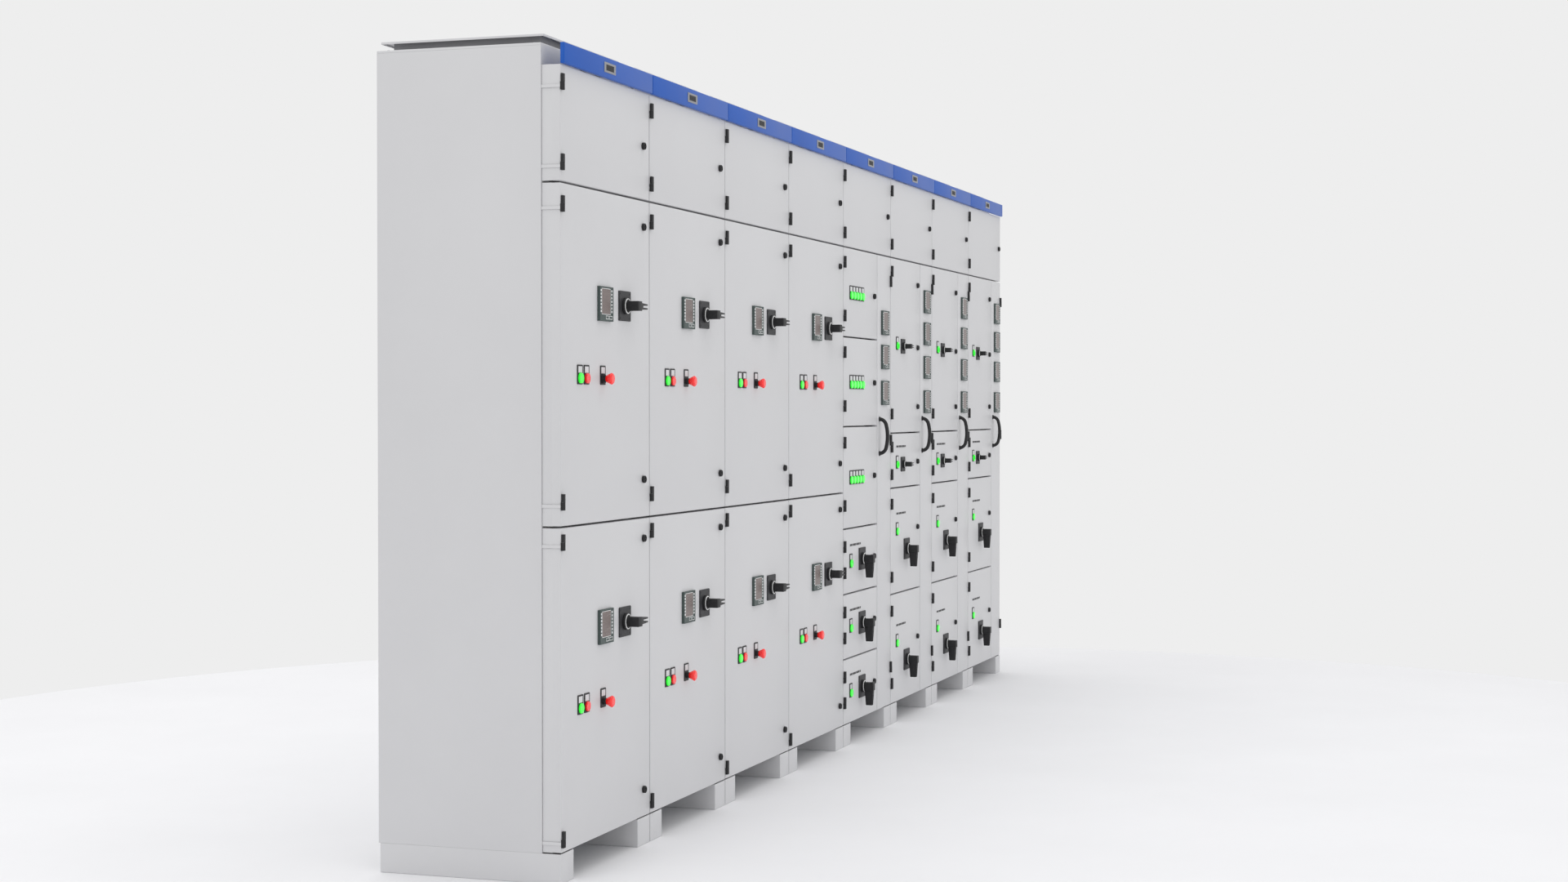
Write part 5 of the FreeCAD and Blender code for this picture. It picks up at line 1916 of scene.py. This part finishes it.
# ------------------------------------------------------------------ breakers
@dataclass
class AirBreaker:
    """A withdrawable air circuit breaker in its cassette, measured from its bay's and its own middle."""

    half: float = 135.0
    face: float = 200.0
    back: float = 453.5
    z: tuple[float, float] = (-170.0, 150.0)
    chute_top: float = 205.0
    shaft: tuple[float, float] = (119.0, 135.0)

    def cassette(self) -> list[bpy.types.Object]:
        """The folded steel cassette and the moulded body that slides in it.

        Returns:
            The cassette and the body.
        """
        box = fold("cassette", ((-self.half, self.half), (self.face, self.back), self.z), 2.5, 2.0, front)
        low, high = self.z
        y = (self.face + 8, self.back - 12)
        body = block("body", (-self.half + 6, self.half - 6), y, (low + 8, high - 6))
        inset(body, front, 5.0, -2.0)
        inset(body, lambda c, n: n.y < -0.99 and abs(c.x) < 60, 9.0, 3.0)
        return [dress(box, PALETTE[ZINC_SHEET]), dress(ease(body, 1.2, 2), PALETTE[GREY_MOULDING])]

    def cover(self) -> list[bpy.types.Object]:
        """The escutcheon with the trip unit, two push-buttons and two indicator windows.

        Returns:
            The parts.
        """
        plate = block("escutcheon", (-110, 100), (185, self.face + 8), (-120, 110))
        inset(plate, front, 6.0, -2.5)
        unit = block("trip_unit", (-96, -16), (182, 190), (6, 92))
        inset(unit, front, 4.0, -1.0)
        glass = block("display", (-86, -44), (181.5, 184), (48, 80))
        inset(glass, front, 2.0, -0.3)
        parts = [
            dress(ease(plate, 1.6, 2), PALETTE[PALE_MOULDING]),
            dress(ease(unit, 1.0, 2), PALETTE[BLACK_MOULDING]),
            dress(ease(glass, 0.4, 1), PALETTE[DISPLAY]),
        ]
        for place, finish in enumerate((WHITE_PRINT, BLACK_MOULDING)):
            knob = rod("push", (9.5, 10.0), 181, 190, (-80 + 32 * place, -62), 28)
            inset(knob, front, 2.0, -0.8)
            window = block("flag", (-94 + 32 * place, -70 + 32 * place), (186.5, 189), (-34, -20))
            inset(window, front, 1.5, -0.5)
            parts += [dress(ease(knob, 0.8, 2), PALETTE[finish]), dress(window, PALETTE[WHITE_LAMINATE])]
        for place in range(5):
            dial = rod("dial", (3.6, 3.6), 180.5, 184, (-27, 20 + 13 * place), 14)
            inset(dial, front, 1.2, -0.6)
            parts.append(dress(dial, PALETTE[WHITE_PRINT]))
        return parts

    def lever(self) -> bpy.types.Object:
        """The spring-charging lever, thicker at its grip.

        Returns:
            The lever.
        """
        lever = block("lever", (50, 62), (169, 186), (-60, 40))
        pick(lever, lambda centre, normal: normal.z < -0.99)
        bpy.ops.mesh.extrude_region_move(TRANSFORM_OT_translate={"value": (0.0, -0.004, -0.03)})
        bpy.ops.transform.resize(value=(1.5, 0.8, 1.0))
        leave()
        return dress(ease(lever, 2.5, 3), PALETTE[BLACK_MOULDING])

    def chutes(self) -> list[bpy.types.Object]:
        """The three arc chutes, slotted on top.

        Returns:
            The chutes.
        """
        parts = []
        for pole in range(3):
            left = -130 + 90 * pole
            chute = block("chute", (left, left + 80), (240, self.back - 20), (self.z[1], self.chute_top))
            slots = [
                block("slot", (left + 9, left + 71), (y, y + 12), (self.chute_top - 8, self.chute_top + 5))
                for y in range(258, 410, 25)
            ]
            parts.append(dress(ease(carve(chute, *slots), 1.0, 1), PALETTE[BLACK_MOULDING]))
        return parts

    def build(self) -> bpy.types.Object:
        """Makes the breaker with the shaft that meets the door's handle.

        Returns:
            The breaker.
        """
        shaft = rod("shaft", (5, 5), 95, self.face + 10, self.shaft, 16)
        collar = rod("collar", (9, 10), 95.5, 110, self.shaft, 20)
        dress(ease(shaft, 0.6, 1), PALETTE[ZINC_PLATE])
        dress(ease(collar, 1, 2), PALETTE[BLACK_MOULDING])
        parts = [*self.cassette(), *self.cover(), self.lever(), *self.chutes(), shaft, collar]
        return join("air_breaker", parts)


@dataclass
class MouldedBreaker:
    """A moulded-case breaker, measured from its shaft."""

    half: float = 52.0
    y: tuple[float, float] = (345.0, 453.5)
    tall: float = 70.0
    nose: float = 330.0
    shaft_end: float = 95.0

    def covers(self) -> list[bpy.types.Object]:
        """The terminal covers above and below, each with three cable mouths.

        Returns:
            The covers.
        """
        parts = []
        for sign in (-1, 1):
            z = (self.tall, self.tall + 14) if sign > 0 else (-self.tall - 14, -self.tall)
            cover = block("cover", (-50, 50), (365, self.y[1]), z)
            mouths = [rod("mouth", (11, 11), z[0] - 20, z[1] + 20, (x, 400), 20, "z") for x in (-32, 0, 32)]
            parts.append(dress(ease(carve(cover, *mouths), 1.2, 2), PALETTE[BLACK_MOULDING]))
        return parts

    def build(self) -> bpy.types.Object:
        """Makes the breaker: case, raised nose, rotary mechanism, shaft and covers.

        Returns:
            The breaker.
        """
        case = block("case", (-self.half, self.half), self.y, (-self.tall, self.tall))
        inset(case, front, 7.0, 3.0)
        nose = block("nose", (-25, 25), (self.nose, self.y[0]), (-38, 38))
        inset(nose, front, 4.0, -1.5)
        collar = rod("collar", (13, 15), self.nose - 4, self.nose + 3, (0, 0), 28)
        shaft = rod("shaft", (5, 5), self.shaft_end, self.nose, (0, 0), 16)
        parts = [dress(ease(case, 1.6, 2), PALETTE[GREY_MOULDING])]
        parts += [dress(ease(part, 1.2, 2), PALETTE[BLACK_MOULDING]) for part in (nose, collar)]
        parts.append(dress(ease(shaft, 0.6, 1), PALETTE[ZINC_PLATE]))
        for x in (-42, 42):
            for z in (-60, 60):
                screw = rod("screw", (4.0, 4.0), self.y[0] - 4.0, self.y[0] + 1, (x, z), 12)
                inset(screw, front, 1.4, -0.8)
                parts.append(dress(screw, PALETTE[ZINC_PLATE]))
        return join("moulded_breaker", parts + self.covers())


@dataclass
class ModularRow:
    """Eight modular breakers clipped side by side on a rail, measured from the bay's left seam."""

    rail_x: tuple[float, float] = (80.0, 340.0)
    rail_front: float = 446.0
    back: float = 453.5
    face: float = 380.0
    first: float = 88.0
    pitch: float = 30.0
    width: float = 28.0
    modules: int = 8

    def rail(self) -> bpy.types.Object:
        """The hat-shaped rail.

        Returns:
            The rail.
        """
        rail = block("rail", self.rail_x, (self.rail_front, self.back), (-17, 17))
        inset(rail, front, 6.0, -4.0)
        return dress(ease(rail, 0.6, 1), PALETTE[ZINC_SHEET])

    def module(self, left: float) -> list[bpy.types.Object]:
        """One breaker: its stepped case, toggle and terminal screws.

        Args:
            left: Its left side.

        Returns:
            The parts.
        """
        middle = left + self.width / 2
        case = block("case", (left, left + self.width), (self.face + 14, self.rail_front), (-43, 43))
        nose = block("nose", (left, left + self.width), (self.face + 2, self.face + 15), (-22, 22))
        inset(nose, front, 2.0, -0.5)
        toggle = block("toggle", (middle - 7, middle + 7), (self.face, self.face + 8), (-2, 9))
        parts = [dress(ease(part, 0.8, 1), PALETTE[PALE_MOULDING]) for part in (case, nose)]
        parts.append(dress(ease(toggle, 1.2, 2), PALETTE[BLACK_MOULDING]))
        for z in (-33, 33):
            screw = rod("screw", (4.2, 4.2), self.face + 13, self.face + 16, (middle, z), 12)
            inset(screw, front, 1.4, -1.0)
            parts.append(dress(screw, PALETTE[ZINC_PLATE]))
        return parts

    def build(self) -> bpy.types.Object:
        """Makes the row.

        Returns:
            The row.
        """
        parts = [self.rail()]
        for place in range(self.modules):
            parts += self.module(self.first + self.pitch * place)
        return join("modular_row", parts)


class Breakers:
    """Every breaker behind the doors."""

    def put(self, master: bpy.types.Object, node: str, name: str, bay: int, x: float, z: float) -> None:
        """Puts one breaker in its bay."""
        piece = copy_at(master, name, row(PITCH * bay + x, 0, z))
        register(piece, ROOT, Slot.GREY, node)

    def build(self) -> None:
        """Makes the breakers of every bay."""
        air, moulded, modular = AirBreaker().build(), MouldedBreaker().build(), ModularRow().build()
        for bay in LINE_BAYS:
            for kind in ("lower", "upper"):
                name = f"bay{bay + 1}_{kind}_air_breaker"
                self.put(air, "air_breakers", name, bay, PITCH / 2, DOORS[kind].middle)
        for kind in kinds_in(SIGNAL_BAY):
            name = f"bay{SIGNAL_BAY + 1}_{kind}"
            z = DOORS[kind].middle
            if kind.startswith("signal"):
                self.put(modular, "feeder_breakers", f"{name}_modular_row", SIGNAL_BAY, 0.0, z)
            elif kind.startswith("starter"):
                self.put(moulded, "feeder_breakers", f"{name}_breaker", SIGNAL_BAY, STARTER_ROTARY_X, z)
        for bay in range(SIGNAL_BAY + 1, BAYS):
            for kind, (x, z) in FEEDER_ROTARY.items():
                self.put(moulded, "feeder_breakers", f"bay{bay + 1}_{kind}_breaker", bay, x, z)
        discard([air, moulded, modular])
        LOG.info("breakers in place")


# ------------------------------------------------------------------ sheet metal that keeps its CAD form
@dataclass
class EasedNode:
    """A flat CAD panel copied, merged and given the soft edges that coated sheet has."""

    node: str
    finish: Finish
    slot: Slot
    width: float

    def build(self) -> bpy.types.Object:
        """Makes the piece that stands for the node.

        Returns:
            The piece.
        """
        source = frame["nodes"][self.node]
        deselect()
        mesh = source.data.copy()
        piece = bpy.data.objects.new(f"{self.node}_eased", mesh)
        bpy.context.scene.collection.objects.link(piece)
        only(piece)
        bpy.ops.object.mode_set(mode="EDIT")
        bpy.ops.mesh.select_all(action="SELECT")
        bpy.ops.mesh.remove_doubles(threshold=1e-5)
        bpy.ops.mesh.dissolve_limited(angle_limit=math.radians(1.0))
        leave()
        ease(piece, self.width, 2, angle=50)
        dress(piece, PALETTE[self.finish])
        join(f"{self.node}_eased", [piece])
        LOG.info("%s eased: %d faces", self.node, len(piece.data.polygons))
        return register(piece, ROOT, self.slot, self.node)


EASED = (
    EasedNode("end_panels", GREY_COAT, Slot.PAINT, 0.8),
    EasedNode("rear_panels", GREY_COAT, Slot.PAINT, 0.7),
)
KEPT = {
    "bay_frames": GREY_COAT,
    "compartment_sheets": ZINC_SHEET,
    "mounting_plates": ZINC_SHEET,
    "busbars": COPPER_BAR,
    "busbar_supports": RED_MOULDING,
    "panel_screws": ZINC_PLATE,
}


def dress_kept_nodes() -> None:
    """Gives the CAD nodes that stay their real finishes."""
    for name, finish in KEPT.items():
        dress(frame["nodes"][name], PALETTE[finish])
    LOG.info("kept nodes dressed: %d", len(KEPT))


# ------------------------------------------------------------------ studio
@dataclass
class Studio:
    """A round pale floor, a plain backdrop colour, soft lights and the camera."""

    lens: float = 52.82
    camera: Vec = (-7.5509, -2.5115, 1.1695)
    yaw: float = 18.272
    pitch: float = 0.8457
    floor_centre: tuple[float, float] = (-0.384, -0.435)
    floor_radius: float = 3.83
    backdrop: str = "EEEEEE"

    def floor(self) -> None:
        """The floor: a thin disc whose rim is rounded."""
        deselect()
        bpy.ops.mesh.primitive_cylinder_add(
            vertices=128, radius=self.floor_radius, depth=0.02, location=(*self.floor_centre, -0.0101)
        )
        disc = settle(bpy.context.object, "floor")
        ease(disc, 6.0, 3)
        sheet = Finish("matt_studio_board", "F4F4F6", "F1F1F3", (0.75, 0.85), patch_mm=900.0, grain_mm=5.0,
                       grain_depth=0.02)
        dress(disc, PALETTE[sheet])

    def world(self) -> None:
        """The even backdrop, which also fills the shadows."""
        world = bpy.data.worlds.new("backdrop")
        bpy.context.scene.world = world
        world.use_nodes = True
        background = world.node_tree.nodes["Background"]
        background.inputs["Color"].default_value = linear(self.backdrop)
        background.inputs["Strength"].default_value = 1.0

    def area(self, name: str, place: Vec, target: Vec, size: tuple[float, float], power: float) -> None:
        """Adds one soft box.

        Args:
            name: Its name.
            place: Where it stands.
            target: What it faces.
            size: Its width and height.
            power: Its power in watts.
        """
        light = bpy.data.lights.new(name, "AREA")
        light.shape = "RECTANGLE"
        light.size, light.size_y = size
        light.energy = power
        lamp = bpy.data.objects.new(name, light)
        lamp.location = place
        lamp.rotation_euler = (Vector(target) - Vector(place)).to_track_quat("-Z", "Y").to_euler()
        bpy.context.scene.collection.objects.link(lamp)

    def aim(self) -> None:
        """The camera at eye height to the left of the line."""
        yaw, pitch = math.radians(self.yaw), math.radians(self.pitch)
        forward = Vector((math.cos(yaw) * math.cos(pitch), math.sin(yaw) * math.cos(pitch), -math.sin(pitch)))
        data = bpy.data.cameras.new("camera")
        data.lens = self.lens
        data.sensor_width = 36.0
        data.clip_end = 100.0
        camera = bpy.data.objects.new("camera", data)
        camera.location = self.camera
        camera.rotation_euler = forward.to_track_quat("-Z", "Y").to_euler()
        bpy.context.scene.collection.objects.link(camera)
        bpy.context.scene.camera = camera

    def build(self) -> None:
        """Sets the studio up."""
        self.floor()
        self.world()
        self.area("overhead", (-0.5, 0.4, 5.6), (0.0, 0.0, 0.0), (6.5, 4.5), 95.0)
        self.area("left", (-8.0, 1.5, 3.5), (-2.0, 0.0, 1.0), (3.0, 3.0), 30.0)
        self.area("front", (0.0, -9.0, 1.2), (0.0, 0.0, 0.9), (0.7, 0.7), 36.0)
        self.aim()
        bpy.context.scene.view_settings.view_transform = "Standard"


def main() -> None:
    """Builds every sub-assembly in order."""
    logging.basicConfig(level=logging.INFO, format="%(name)s: %(message)s")
    Studio().build()
    dress_kept_nodes()
    for eased in EASED:
        eased.build()
    FoldedSheets().build()
    Breakers().build()
    Fascia().build()
    DoorMaker().build()
    WorkingControls().build()


if __name__ == "__main__":
    main()
